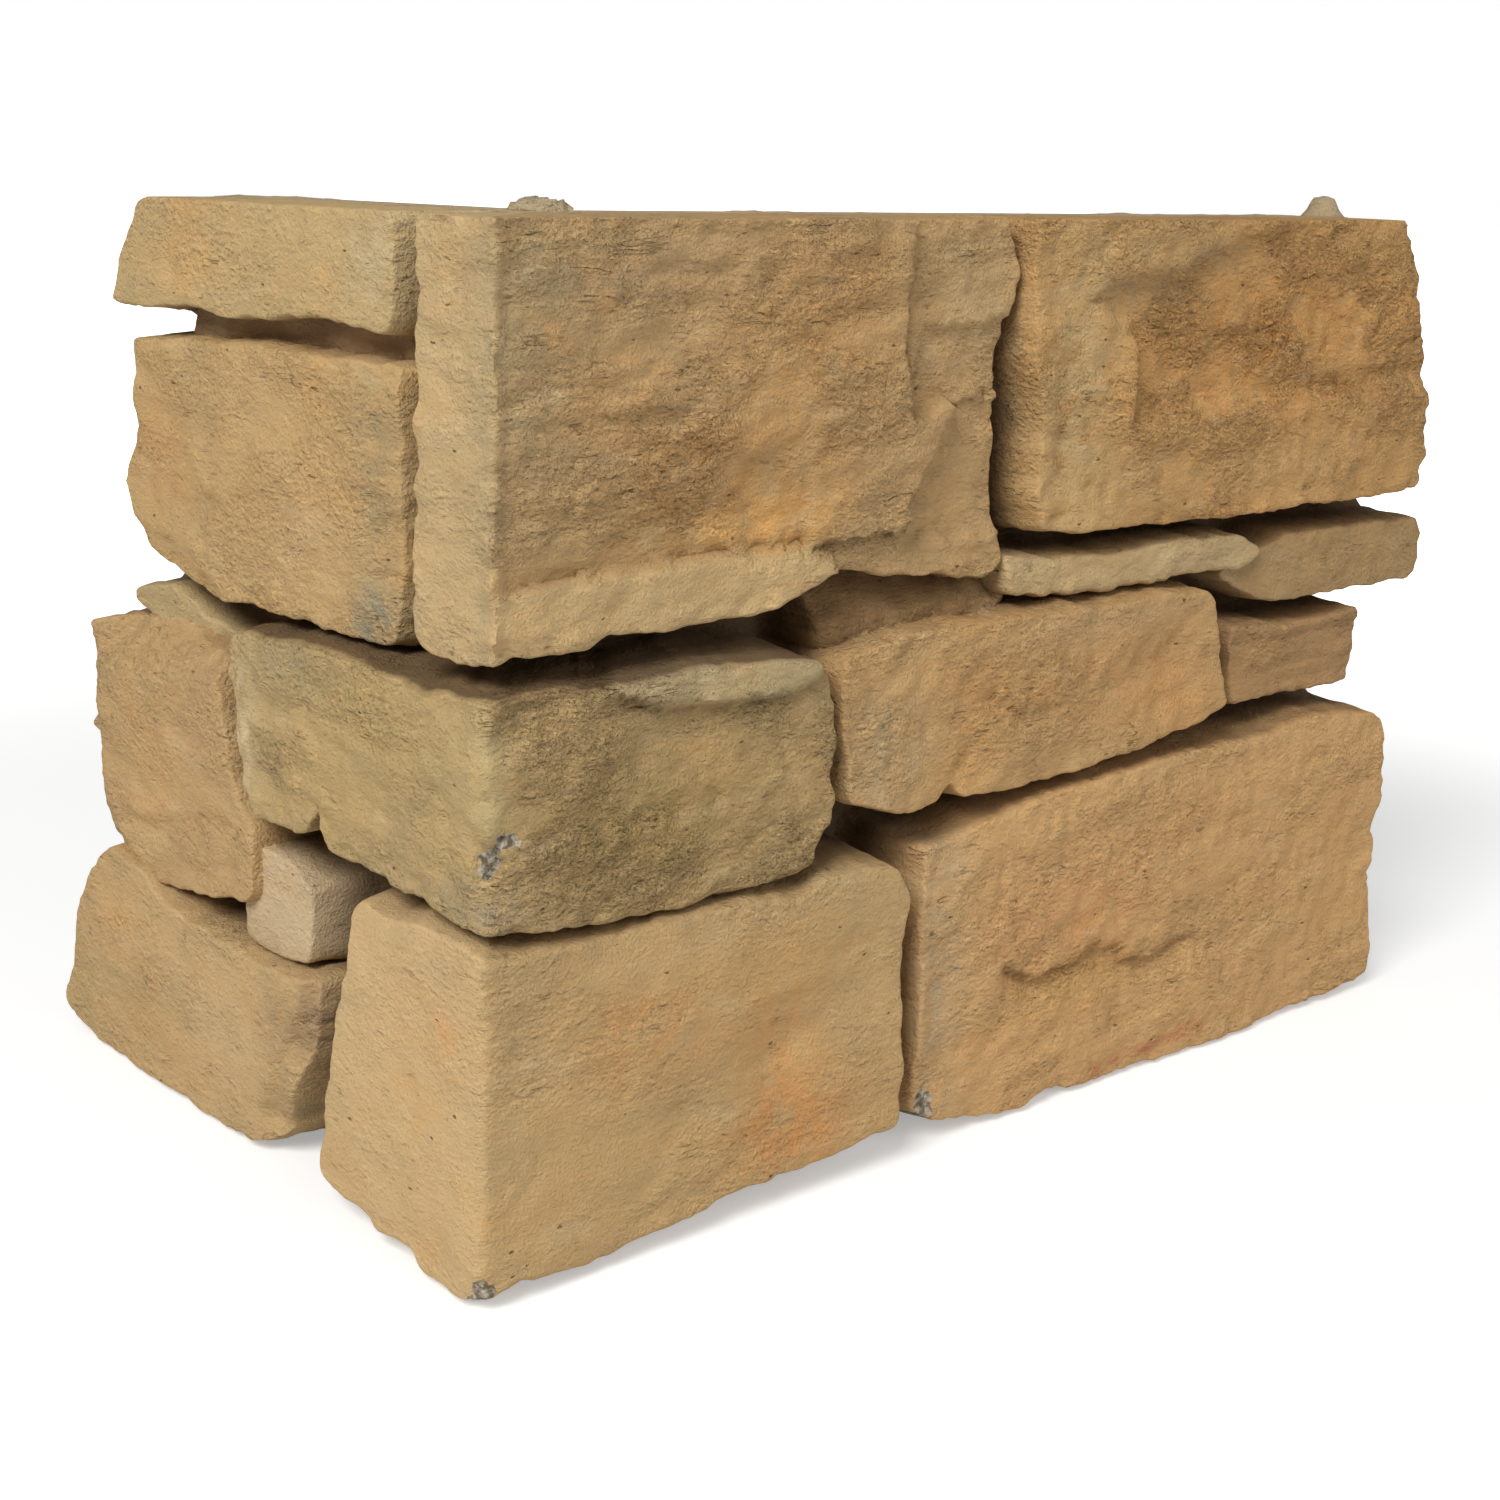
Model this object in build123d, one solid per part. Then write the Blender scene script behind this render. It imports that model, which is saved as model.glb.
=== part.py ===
from build123d import *
import os
from math import hypot, radians, tan

# Moulded stone cladding corner piece: an L-shaped cast unit whose two returns
# meet on a building's corner. One casting, so one solid: a thin backing with
# the faces of fifteen rough stones standing out of it, and deep joints between.
#
# Millimetres, +Z up. The origin is the inside corner at the bed. The long return
# runs along +X with its back on y = 0, and the short return runs along +Y with
# its back on x = 0. The stones face -Y and -X.

# Overall sizes
HEIGHT = 250.0  # one course of cladding, bed to top
LONG_REACH = 313.0  # inside corner to the far end of the long return
SHORT_REACH = 168.0  # inside corner to the far end of the short return

# Backing and joints
BACKING = 22.0  # wall that carries the stones
DRAFT = 4.0  # degrees that each stone's sides lean, so that it leaves the mould
EMBED = 4.0  # how far a stone's root runs into the backing
TOP_SKIN = 2.0  # stones stop this far below the backing's top

# How far each stone stands out of the backing
RELIEF_CORNER_TOP = 28.0
RELIEF_CORNER_MIDDLE = 31.0
RELIEF_CORNER_BASE = 34.0
RELIEF_LARGE = 28.0
RELIEF_MEDIUM = 30.0
RELIEF_BASE = 31.0
RELIEF_THIN = 24.0
RELIEF_WEDGE = 25.0
RELIEF_SLIVER = 16.0

# Steps where the stones were split
CLEFT_STEP = 3.5  # the top corner stone's face steps back at its right
STRIP_STEP = 2.0  # and stands out in a strip along its bed
SLAB_STEP = 2.5  # a slab stands out at the middle corner stone's top right
SCOOP_STEP = 3.5  # the top right block is scooped out to its right
LEDGE_STEP = 2.5  # the big bed block is hollowed under a broken ledge
CLEFT_SLOPE = 35.0  # degrees that a split edge leans
SCOOP_SLOPE = 60.0  # degrees that a hollow's edge leans

# Rounding of the worn arrises
ARRIS = 2.5
ARRIS_SMALL = 1.2
CORNER_ARRIS = 3.0
FACE_TOLERANCE = 0.01  # an edge this near a stone's face lies in it

# Casting nubs left on the top
PEG_BASE = 13.0
PEG_TOP = 7.0
PEG_HEIGHT = 6.0
PEG_INSET = 10.0
LUMP_RADIUS = 7.0
LUMP_HEIGHT = 3.0
LUMP_INSET = 8.0
NUB_ROOT = 1.0  # how far a nub runs into the top

LONG, SHORT = "long", "short"


def at_end(distance, wing=LONG):
    """A place along a return, measured back from its far end."""
    return (LONG_REACH if wing == LONG else SHORT_REACH) - distance


def below_top(distance):
    """A height measured down from the top."""
    return HEIGHT - distance


def grown(points, amount):
    """The outline moved outward by amount, each corner on its mitre, so that
    every side stays parallel to itself."""
    area = sum(a[0] * b[1] - b[0] * a[1] for a, b in zip(points, points[1:] + points[:1]))
    side = 1 if area > 0 else -1
    moved = []
    for before, here, after in zip(points[-1:] + points[:-1], points, points[1:] + points[:1]):
        normals = []
        for a, b in ((before, here), (here, after)):
            length = hypot(b[0] - a[0], b[1] - a[1])
            normals.append((side * (b[1] - a[1]) / length, -side * (b[0] - a[0]) / length))
        (ax, az), (bx, bz) = normals
        mitre = amount / (1 + ax * bx + az * bz)
        moved.append((here[0] + mitre * (ax + bx), here[1] + mitre * (az + bz)))
    return moved


def outline_face(points, wing, depth):
    """An outline of (place along the return, height) as a face at a depth out
    from the return's back."""
    if wing == LONG:
        corners = [(along, -depth, up) for along, up in points]
    else:
        corners = [(-depth, along, up) for along, up in points]
    return Face(Wire.make_polygon([Vector(*corner) for corner in corners]))


def drafted_block(points, wing, inner, outer, draft=DRAFT):
    """A block between two depths whose outer outline is the one given. Its
    sides lean outward towards the inner depth."""
    root = grown(points, (outer - inner) * tan(radians(draft)))
    return Solid.make_loft(
        [outline_face(root, wing, inner).outer_wire(), outline_face(points, wing, outer).outer_wire()],
        ruled=True,
    )


def front_edges(block, wing, depth):
    """The edges that lie in the plane of a stone's face."""
    axis = Axis.Y if wing == LONG else Axis.X
    return block.edges().filter_by_position(axis, -depth - FACE_TOLERANCE, -depth + FACE_TOLERANCE)


def stone(points, wing, relief):
    """A stone of one return, with its face's arris rounded."""
    depth = BACKING + relief
    block = drafted_block(points, wing, BACKING - EMBED, depth)
    return block.fillet(ARRIS, front_edges(block, wing, depth))


def small_stone(points, wing, relief):
    """A small stone of one return, with its face's arris worn to a chamfer."""
    depth = BACKING + relief
    inner = BACKING - EMBED
    lean = tan(radians(DRAFT))
    sections = [(inner, (depth - inner) * lean), (depth - ARRIS_SMALL, ARRIS_SMALL * lean),
                (depth, -ARRIS_SMALL)]
    return Solid.make_loft(
        [outline_face(grown(points, amount), wing, level).outer_wire() for level, amount in sections],
        ruled=True,
    )


def split_off(block, points, wing, depth, step, slope):
    """A stone with its face set back by step inside an outline, whose edge leans
    inward by slope degrees."""
    tool = drafted_block(points, wing, depth - step, depth + step, -slope)
    return (block - tool).solid()


def standing_out(block, points, wing, depth, step, slope):
    """A stone with its face standing out by step inside an outline, whose edge
    leans outward by slope degrees."""
    return (block + drafted_block(points, wing, depth - step, depth + step, slope)).solid()


def corner_stone(long_points, short_points, relief, corner_arris):
    """A stone that turns the corner. Its long outline cuts it as seen from the
    long return and its short outline as seen from the short one, and its upright
    arris is rounded."""
    depth = BACKING + relief
    inner = BACKING - EMBED
    long_end = max(along for along, up in long_points)
    short_end = max(along for along, up in short_points)
    plan = Polyline(
        (-depth, -depth), (long_end + relief, -depth), (long_end + relief, -inner),
        (-inner, -inner), (-inner, short_end + relief), (-depth, short_end + relief), close=True,
    )
    ell = extrude(make_face(plan), HEIGHT)
    past = 2 * relief

    def leg_outline(points):
        """The outline carried past the corner, so that only its end leans."""
        corner_bottom = min(up for along, up in points if along == -depth)
        corner_top = max(up for along, up in points if along == -depth)
        inside = [point for point in points if point[0] != -depth]
        return [(-depth - past, corner_bottom)] + inside + [(-depth - past, corner_top)]

    long_leg = drafted_block(leg_outline(long_points), LONG, inner, depth)
    short_leg = drafted_block(leg_outline(short_points), SHORT, inner, depth)
    behind_long = Pos(0, -inner + HEIGHT, HEIGHT / 2) * Box(4 * HEIGHT, 2 * HEIGHT, 2 * HEIGHT)
    behind_short = Pos(-inner + HEIGHT, 0, HEIGHT / 2) * Box(2 * HEIGHT, 4 * HEIGHT, 2 * HEIGHT)
    block = (ell & (long_leg + behind_long) & (short_leg + behind_short)).solid()
    upright = block.edges().filter_by(Axis.Z).sort_by(lambda e: e.center().X + e.center().Y)[0]
    block = block.fillet(corner_arris, [upright])
    return block


# Outlines of the stones' faces, as (place along the return, height), anticlockwise from
# the lower corner nearest the building's corner. Those at an end or at the top are
# measured from it.

def long_return_stones():
    """The stones that show only on the long return."""
    large, base = BACKING + RELIEF_LARGE, BACKING + RELIEF_BASE
    top_right = stone(
        [(130, 168), (145, 165), (at_end(113), 166), (at_end(68), 165), (at_end(2), 167), (at_end(2), 190),
         (at_end(0), 205), (at_end(7), 222), (at_end(6), below_top(18)), (at_end(14), below_top(TOP_SKIN)),
         (122, below_top(TOP_SKIN)), (124, below_top(36)), (128, 196)],
        LONG, RELIEF_LARGE)
    scoop = [(146, 226), (150, 234), (182, 236), (206, 247), (225, HEIGHT + 20), (at_end(-20), HEIGHT + 20),
             (at_end(-20), 194), (160, 191)]
    big_bed = stone(
        [(90, 10), (100, 6), (128, 1), (143, 3), (180, 0.5), (at_end(63), 0.5), (at_end(7), 4),
         (at_end(7), 22), (at_end(11), 45), (at_end(14), 60), (at_end(11), 78), (at_end(13), 91),
         (at_end(22), 97), (195, 97), (150, 95), (110, 91), (88, 88), (89, 60)],
        LONG, RELIEF_BASE)
    under_ledge = [(122, 48), (138, 41), (156, 43), (161, 46), (175, 43), (184, 36), (206, 38), (198, 22),
                   (130, 24)]
    return [
        split_off(top_right, scoop, LONG, large, SCOOP_STEP, SCOOP_SLOPE),
        # long thin sliver under it
        small_stone([(121, 152), (150, 148), (at_end(103), 149), (at_end(80), 153), (at_end(91), 160),
                     (165, 160), (120, 162)],
                    LONG, RELIEF_THIN),
        # thin block at the end
        small_stone([(at_end(89), 143), (at_end(81), 139), (at_end(30), 138), (at_end(2), 141),
                     (at_end(0), 158), (at_end(67), 158), (at_end(79), 155)],
                    LONG, RELIEF_LARGE),
        # long block in the middle
        stone([(61, 103), (84, 98), (at_end(172), 99), (at_end(123), 103), (at_end(97), 109),
               (at_end(103), 138), (at_end(110), 146), (130, 147), (80, 146), (55, 141), (57, 122)],
              LONG, RELIEF_MEDIUM),
        # small block at the end
        small_stone([(at_end(90), 108), (at_end(29), 108), (at_end(26), 130), (at_end(69), 131),
                     (at_end(92), 132)],
                    LONG, RELIEF_THIN),
        split_off(big_bed, under_ledge, LONG, base, LEDGE_STEP, SCOOP_SLOPE),
    ]


def short_return_stones():
    """The stones that show only on the short return."""
    def end(distance):
        return at_end(distance, SHORT)

    return [
        # thin slab at the top
        small_stone([(-3, below_top(27)), (16, below_top(27)), (66, below_top(27)), (112, below_top(29)),
                     (end(30), below_top(30)), (end(36), below_top(15)), (end(48), below_top(TOP_SKIN)),
                     (-8, below_top(TOP_SKIN)), (-6, below_top(20))],
                    SHORT, RELIEF_THIN),
        # big block under it
        stone([(-4, 148), (55, 147), (100, 148), (123, 153), (127, 162), (end(34), 173),
               (end(44), 190), (end(43), below_top(50)), (end(40), below_top(38)),
               (80, below_top(36)), (45, below_top(35)), (-4, below_top(35))],
              SHORT, RELIEF_THIN),
        # sliver that runs in behind the middle corner stone
        small_stone([(62, 127), (100, 126), (129, 130), (end(22), 134), (end(22), 139), (120, 142),
                     (62, 139)],
                    SHORT, RELIEF_SLIVER),
        # middle block at the end
        stone([(58, 69), (84, 64), (116, 59), (130, 61), (150, 67), (154, 89), (end(6), 96),
               (end(12), 113), (end(7), 120), (end(11), 129), (121, 135), (78, 132), (70, 110),
               (66, 97), (57, 89)],
              SHORT, RELIEF_LARGE),
        # wedge set in beside it
        small_stone([(34, 58), (50, 55), (64, 55), (68, 62), (63, 84), (47, 83), (32, 80)],
                    SHORT, RELIEF_WEDGE),
        # block at the bed
        stone([(36, 10), (54, 3), (75, 1), (140, 0.5), (end(0), 6), (end(6), 24), (end(12), 42),
               (end(22), 58), (136, 65), (106, 57), (67, 54), (30, 57), (28, 36)],
              SHORT, RELIEF_BASE),
    ]


def corner_stones():
    """The stones that turn the corner and show on both returns."""
    top, middle, base = (BACKING + relief for relief in
                         (RELIEF_CORNER_TOP, RELIEF_CORNER_MIDDLE, RELIEF_CORNER_BASE))
    upper = below_top(TOP_SKIN)
    top_stone = corner_stone(
        [(-top, 153), (22, 156), (56, 164), (94, 159), (117, 161), (112, 172), (111, 208),
         (116, below_top(14)), (113, upper), (-top, upper)],
        [(-top, 153), (-31, 151), (-20, 156), (-20, upper), (-top, upper)],
        RELIEF_CORNER_TOP, CORNER_ARRIS)
    cleft = [(45, 171), (35, 140), (140, 140), (140, HEIGHT + 10), (79, HEIGHT + 10), (78, 222),
             (76, 213), (88, 190), (81, 172)]
    top_stone = split_off(top_stone, cleft, LONG, top, CLEFT_STEP, CLEFT_SLOPE)
    bed_strip = [(4 - top, 158), (20, 161), (38, 165), (40, 168), (6, 169), (4 - top, 167)]
    middle_stone = corner_stone(
        [(-middle, 92), (-20, 89), (10, 88), (46, 88), (54, 103), (52, 139), (44, 146), (-middle, 146)],
        [(-middle, 92), (-9, 95), (20, 95), (54, 94), (60, 98), (64, 116), (71, 130), (68, 140),
         (32, 145), (-middle, 146)],
        RELIEF_CORNER_MIDDLE, ARRIS)
    slab = [(-14, 142), (14, 139), (38, 138), (44, 141), (42, 144), (-12, 144)]
    return [
        standing_out(top_stone, bed_strip, LONG, top, STRIP_STEP, CLEFT_SLOPE),
        standing_out(middle_stone, slab, LONG, middle, SLAB_STEP, CLEFT_SLOPE / 2),
        corner_stone(
            [(-base, 3), (0, 6), (57, 10), (80, 14), (80, 78), (75, 86), (30, 86), (-base, 90)],
            [(-base, 3), (-30, 5), (1, 8), (14, 12), (10, 35), (2, 68), (-2, 87), (-base, 90)],
            RELIEF_CORNER_BASE, ARRIS),
    ]


def backing():
    """The L-shaped wall behind the stones, with ends toothed as the courses are,
    so that the next unit's stones lock into them."""
    long_profile = [
        (-BACKING, 0), (at_end(10), 0), (at_end(10), 93), (at_end(29), 100), (at_end(29), 134),
        (at_end(3), 140), (at_end(3), below_top(TOP_SKIN)), (at_end(14), HEIGHT), (-BACKING, HEIGHT),
    ]
    short_profile = [
        (-BACKING, 0), (at_end(3, SHORT), 0), (at_end(8, SHORT), 60), (at_end(8, SHORT), 128),
        (at_end(22, SHORT), 142), (at_end(34, SHORT), 150), (at_end(34, SHORT), below_top(TOP_SKIN)),
        (at_end(46, SHORT), HEIGHT), (-BACKING, HEIGHT),
    ]
    long_wall = Solid.extrude(outline_face(long_profile, LONG, 0), Vector(0, -BACKING, 0))
    short_wall = Solid.extrude(outline_face(short_profile, SHORT, 0), Vector(-BACKING, 0, 0))
    return long_wall + short_wall


def casting_nubs():
    """The peg and the lump that the mould's filling holes leave on the top."""
    peg_place = Plane((at_end(PEG_INSET), -PEG_INSET, HEIGHT - NUB_ROOT))
    peg = loft([peg_place * Circle(PEG_BASE / 2), peg_place.offset(PEG_HEIGHT) * Circle(PEG_TOP / 2)])
    lump_place = Plane((-LUMP_INSET, -LUMP_INSET, HEIGHT - NUB_ROOT))
    lump = loft([lump_place * Circle(LUMP_RADIUS), lump_place.offset(LUMP_HEIGHT) * Circle(LUMP_RADIUS / 2)])
    return [peg, lump]


def corner_piece():
    """The whole casting as one solid, struck flat at the bed."""
    body = backing()
    for piece in corner_stones() + long_return_stones() + short_return_stones() + casting_nubs():
        body = body + piece
    under_bed = Pos(0, 0, -HEIGHT) * Box(4 * HEIGHT, 4 * HEIGHT, 2 * HEIGHT)
    return (body - under_bed).solid()


os.makedirs("parts", exist_ok=True)
export_step(corner_piece(), "parts/corner_piece.step")
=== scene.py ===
"""Looks of the stone cladding corner piece: one casting of a thin L-shaped backing with rough stones in
relief.

Lengths are millimetres until a mesh is written, which is in metres. The frame is the part's own: the
origin is the inside corner at the bed, +Z is up, the long return runs along +X and the short return
along +Y.

A stone's face is laid out flat as (s, z): s runs round the face from the corner arris, positive along
the long return and negative along the short one, and z is the height.
"""

import logging
import math
from dataclasses import dataclass, field
from enum import Enum
from typing import Sequence

import bpy
import numpy as np
from mathutils import Matrix

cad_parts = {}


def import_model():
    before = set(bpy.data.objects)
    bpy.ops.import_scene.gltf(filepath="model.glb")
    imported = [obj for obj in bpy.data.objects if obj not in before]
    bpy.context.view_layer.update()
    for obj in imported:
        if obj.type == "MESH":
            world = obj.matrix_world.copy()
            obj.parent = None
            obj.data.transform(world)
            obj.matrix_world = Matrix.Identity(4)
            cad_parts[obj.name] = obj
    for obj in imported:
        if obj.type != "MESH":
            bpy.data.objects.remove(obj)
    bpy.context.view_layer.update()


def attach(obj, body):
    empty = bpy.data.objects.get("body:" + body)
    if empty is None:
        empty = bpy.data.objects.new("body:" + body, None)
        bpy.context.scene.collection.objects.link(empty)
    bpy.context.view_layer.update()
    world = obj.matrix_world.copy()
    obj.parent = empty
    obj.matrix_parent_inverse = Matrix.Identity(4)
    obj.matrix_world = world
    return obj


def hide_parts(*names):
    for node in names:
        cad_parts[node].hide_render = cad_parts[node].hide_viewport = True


METRES_PER_MM = 0.001
NODE = "corner_piece"
LEVELS = ("deep", "rust", "olive", "chip", "grainy")

log = logging.getLogger("corner_piece")

Array = np.ndarray
Pair = tuple[float, float]
Triple = tuple[float, float, float]
Colour = tuple[float, float, float]


# Noise

class Noise:
    """Gradient noise in three dimensions, the same on every run for one seed."""

    TABLE_SIZE = 256
    PRIMES = (73856093, 19349663, 83492791)
    SCRAMBLE = 1274126177
    LEVEL = 1.6
    LAYER_SHIFT = 17.3

    def __init__(self, seed: int) -> None:
        """Draws the table of unit gradients.

        Args:
            seed: fixes every value of the noise.
        """
        generator = np.random.default_rng(seed)
        vectors = generator.normal(size=(self.TABLE_SIZE, 3))
        self.gradients = vectors / np.linalg.norm(vectors, axis=1, keepdims=True)
        self.salt = int(generator.integers(1, 2**31 - 1))

    def at(self, points: Array) -> Array:
        """Noise of about -1 to 1: at each corner of a point's lattice cell, the dot product of the corner's
        gradient and the way from the corner, blended by the fade curve 6t^5 - 15t^4 + 10t^3.

        Args:
            points: array of shape (..., 3), in cells.

        Returns:
            An array of the leading shape.
        """
        cell = np.floor(points).astype(np.int64)
        part = points - cell
        fade = part * part * part * (part * (part * 6 - 15) + 10)
        total = np.zeros(points.shape[:-1])
        for corner in np.ndindex(2, 2, 2):
            step = np.array(corner)
            mixed = ((cell + step) * self.PRIMES).sum(axis=-1) ^ self.salt
            mixed = (mixed ^ (mixed >> 13)) * self.SCRAMBLE
            gradient = self.gradients[(mixed ^ (mixed >> 16)) % self.TABLE_SIZE]
            share = np.where(step == 1, fade, 1 - fade).prod(axis=-1)
            total += share * (gradient * (part - step)).sum(axis=-1)
        return total * self.LEVEL

    def layers(self, points: Array, count: int = 3, gain: float = 0.5) -> Array:
        """Noise summed over count layers, each twice as fine as the last and gain times as strong.

        Args:
            points: array of shape (..., 3), in cells of the coarsest layer.
            count: how many layers.
            gain: strength of each layer against the one before.

        Returns:
            An array of the leading shape.
        """
        total = np.zeros(points.shape[:-1])
        strength = 1.0
        for layer in range(count):
            total += strength * self.at(points * 2.0**layer + self.LAYER_SHIFT * layer)
            strength *= gain
        return total


def stacked(*axes: Array | float) -> Array:
    """The arrays side by side as points, on a new last axis."""
    return np.stack(np.broadcast_arrays(*axes), axis=-1).astype(float)


def smooth_step(value: Array) -> Array:
    """0 below 0, 1 above 1 and 3t^2 - 2t^3 between."""
    t = np.clip(value, 0.0, 1.0)
    return t * t * (3 - 2 * t)


def line_distance(
    s: Array, z: Array, start: Pair, end: Pair, shake: Array | float = 0.0
) -> Array:
    """Distance from the straight line between two points.

    Args:
        s: places along the face.
        z: heights.
        start: one end of the line.
        end: its other end.
        shake: heights that are added to the way from the line, to make it ragged.

    Returns:
        An array of the shape of s.
    """
    run, rise = end[0] - start[0], end[1] - start[1]
    share = np.clip(((s - start[0]) * run + (z - start[1]) * rise) / (run * run + rise * rise), 0.0, 1.0)
    return np.hypot(s - start[0] - share * run, z - start[1] - share * rise + shake)


def inside_distance(s: Array, z: Array, outline: Sequence[Pair]) -> Array:
    """Distance from a polygon's edge, positive inside and negative outside.

    Args:
        s: places along the face.
        z: heights.
        outline: the polygon's corners.

    Returns:
        An array of the shape of s.
    """
    nearest = np.full(np.shape(s), np.inf)
    inside = np.zeros(np.shape(s), bool)
    for (ax, az), (bx, bz) in zip(outline, list(outline[1:]) + [outline[0]]):
        nearest = np.minimum(nearest, line_distance(s, z, (ax, az), (bx, bz)))
        run, rise = bx - ax, bz - az
        crosses = (az > z) != (bz > z)
        at = ax + (z - az) * run / rise if rise else np.full(np.shape(s), -np.inf)
        inside ^= crosses & (s < at)
    return np.where(inside, nearest, -nearest)


# Relief of a stone's face

class Relief:
    """Something that raises or lowers a stone's face."""

    def height(self, s: Array, z: Array, wobble: Array) -> Array:
        """How far the face stands out at each place.

        Args:
            s: places along the face.
            z: heights.
            wobble: noise of about -1 to 1 at the same places, for ragged edges.

        Returns:
            Heights in mm, positive outward.
        """
        raise NotImplementedError


@dataclass(frozen=True)
class Spall(Relief):
    """A patch that split off: inside its outline the face drops by drop over soft mm, and goes on falling by
    slope for each further mm."""

    outline: tuple[Pair, ...]
    drop: float
    soft: float = 1.5
    slope: float = 0.0
    ragged: float = 1.5

    def height(self, s: Array, z: Array, wobble: Array) -> Array:
        """The drop, by the distance in from the patch's edge."""
        inward = inside_distance(s, z, self.outline) + self.ragged * wobble
        return -self.drop * smooth_step(inward / self.soft) - self.slope * np.maximum(inward, 0.0)


@dataclass(frozen=True)
class Swell(Relief):
    """A rounded rise, or a hollow where rise is negative: rise times the bell curve of the distance from the
    centre, with each axis in its own size."""

    centre: Pair
    size: Pair
    rise: float

    def height(self, s: Array, z: Array, wobble: Array) -> Array:
        """The bell curve's height."""
        across = (s - self.centre[0]) / self.size[0]
        up = (z - self.centre[1]) / self.size[1]
        return self.rise * np.exp(-(across * across + up * up))


@dataclass(frozen=True)
class Seam(Relief):
    """A bedding crack or a rib along a line: rise times the bell curve of the distance from the line."""

    start: Pair
    end: Pair
    width: float
    rise: float
    ragged: float = 0.8

    def height(self, s: Array, z: Array, wobble: Array) -> Array:
        """The bell curve across the line, fading past its ends."""
        off = line_distance(s, z, self.start, self.end, self.ragged * wobble)
        return self.rise * np.exp(-((off / self.width) ** 2))


@dataclass(frozen=True)
class Ledge(Relief):
    """A broken bedding edge along a line of (s, z): just under the line, or over it where over is set, the
    face drops by drop over soft mm, and further away it comes back over fade mm."""

    line: tuple[Pair, ...]
    drop: float
    soft: float = 0.8
    fade: float = 8.0
    ragged: float = 1.0
    ends: float = 6.0
    over: bool = False

    def height(self, s: Array, z: Array, wobble: Array) -> Array:
        """The drop, by the distance under or over the line, fading at the line's ends."""
        places, levels = np.array(self.line).T
        below = (np.interp(s, places, levels) - z) * (-1 if self.over else 1) + self.ragged * wobble
        length = smooth_step((s - places[0]) / self.ends) * smooth_step((places[-1] - s) / self.ends)
        back = np.exp(-np.maximum(below, 0.0) / self.fade)
        return -self.drop * length * smooth_step(below / self.soft) * back


@dataclass(frozen=True)
class Chip(Relief):
    """A knocked-off flake that shows the concrete: a ragged bowl."""

    centre: Pair
    size: Pair
    deep: float = 1.2
    reach: float = 1.15
    ragged: float = 0.5
    soft: float = 0.4

    def cover(self, s: Array, z: Array, wobble: Array) -> Array:
        """How much of each place is chipped: 1 within the oval and 0 outside, with a ragged edge."""
        off = np.hypot((s - self.centre[0]) / self.size[0], (z - self.centre[1]) / self.size[1])
        return smooth_step((self.reach - off + self.ragged * wobble) / self.soft)

    def height(self, s: Array, z: Array, wobble: Array) -> Array:
        """The bowl's depth."""
        return -self.deep * self.cover(s, z, wobble)


@dataclass(frozen=True)
class SoftPatch:
    """A patch of another colour, strongest in its middle, and rougher or smoother than the rest. Most are
    stains; some are painted shade.
    """

    centre: Pair
    size: Pair
    colour: Colour
    strength: float = 0.7
    rough: float = 0.0
    ragged: float = 1.1

    def cover(self, s: Array, z: Array, wobble: Array) -> Array:
        """Share of the colour at each place: the bell curve of the distance, made ragged."""
        across = (s - self.centre[0]) / self.size[0]
        up = (z - self.centre[1]) / self.size[1]
        faded = self.strength * np.exp(-(across * across + up * up))
        return np.clip(faded * (1 + self.ragged * wobble), 0.0, 1.0)


@dataclass(frozen=True)
class Patch:
    """A patch of another colour with a crisp ragged outline, such as the bare face of a bedding layer."""

    outline: tuple[Pair, ...]
    colour: Colour
    strength: float = 0.7
    rough: float = 0.0
    soft: float = 1.2
    ragged: float = 0.5

    def cover(self, s: Array, z: Array, wobble: Array) -> Array:
        """Share of the colour at each place: full inside the outline, over an edge soft mm wide."""
        inward = inside_distance(s, z, self.outline) + self.ragged * wobble
        return self.strength * smooth_step(inward / self.soft + 0.5)


@dataclass(frozen=True)
class ShadeLine:
    """Painted shadow along a broken edge: a dark line where the step's shadow falls."""

    line: tuple[Pair, ...]
    width: float
    colour: Colour
    strength: float = 0.5
    rough: float = 0.0
    ragged: float = 0.8

    def cover(self, s: Array, z: Array, wobble: Array) -> Array:
        """Share of the colour at each place: the bell curve of the distance from the line, made ragged."""
        nearest = np.full(np.shape(s), np.inf)
        for start, end in zip(self.line, self.line[1:]):
            nearest = np.minimum(nearest, line_distance(s, z, start, end))
        faded = self.strength * np.exp(-((nearest / self.width) ** 2))
        return np.clip(faded * (1 + self.ragged * wobble), 0.0, 1.0)


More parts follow.
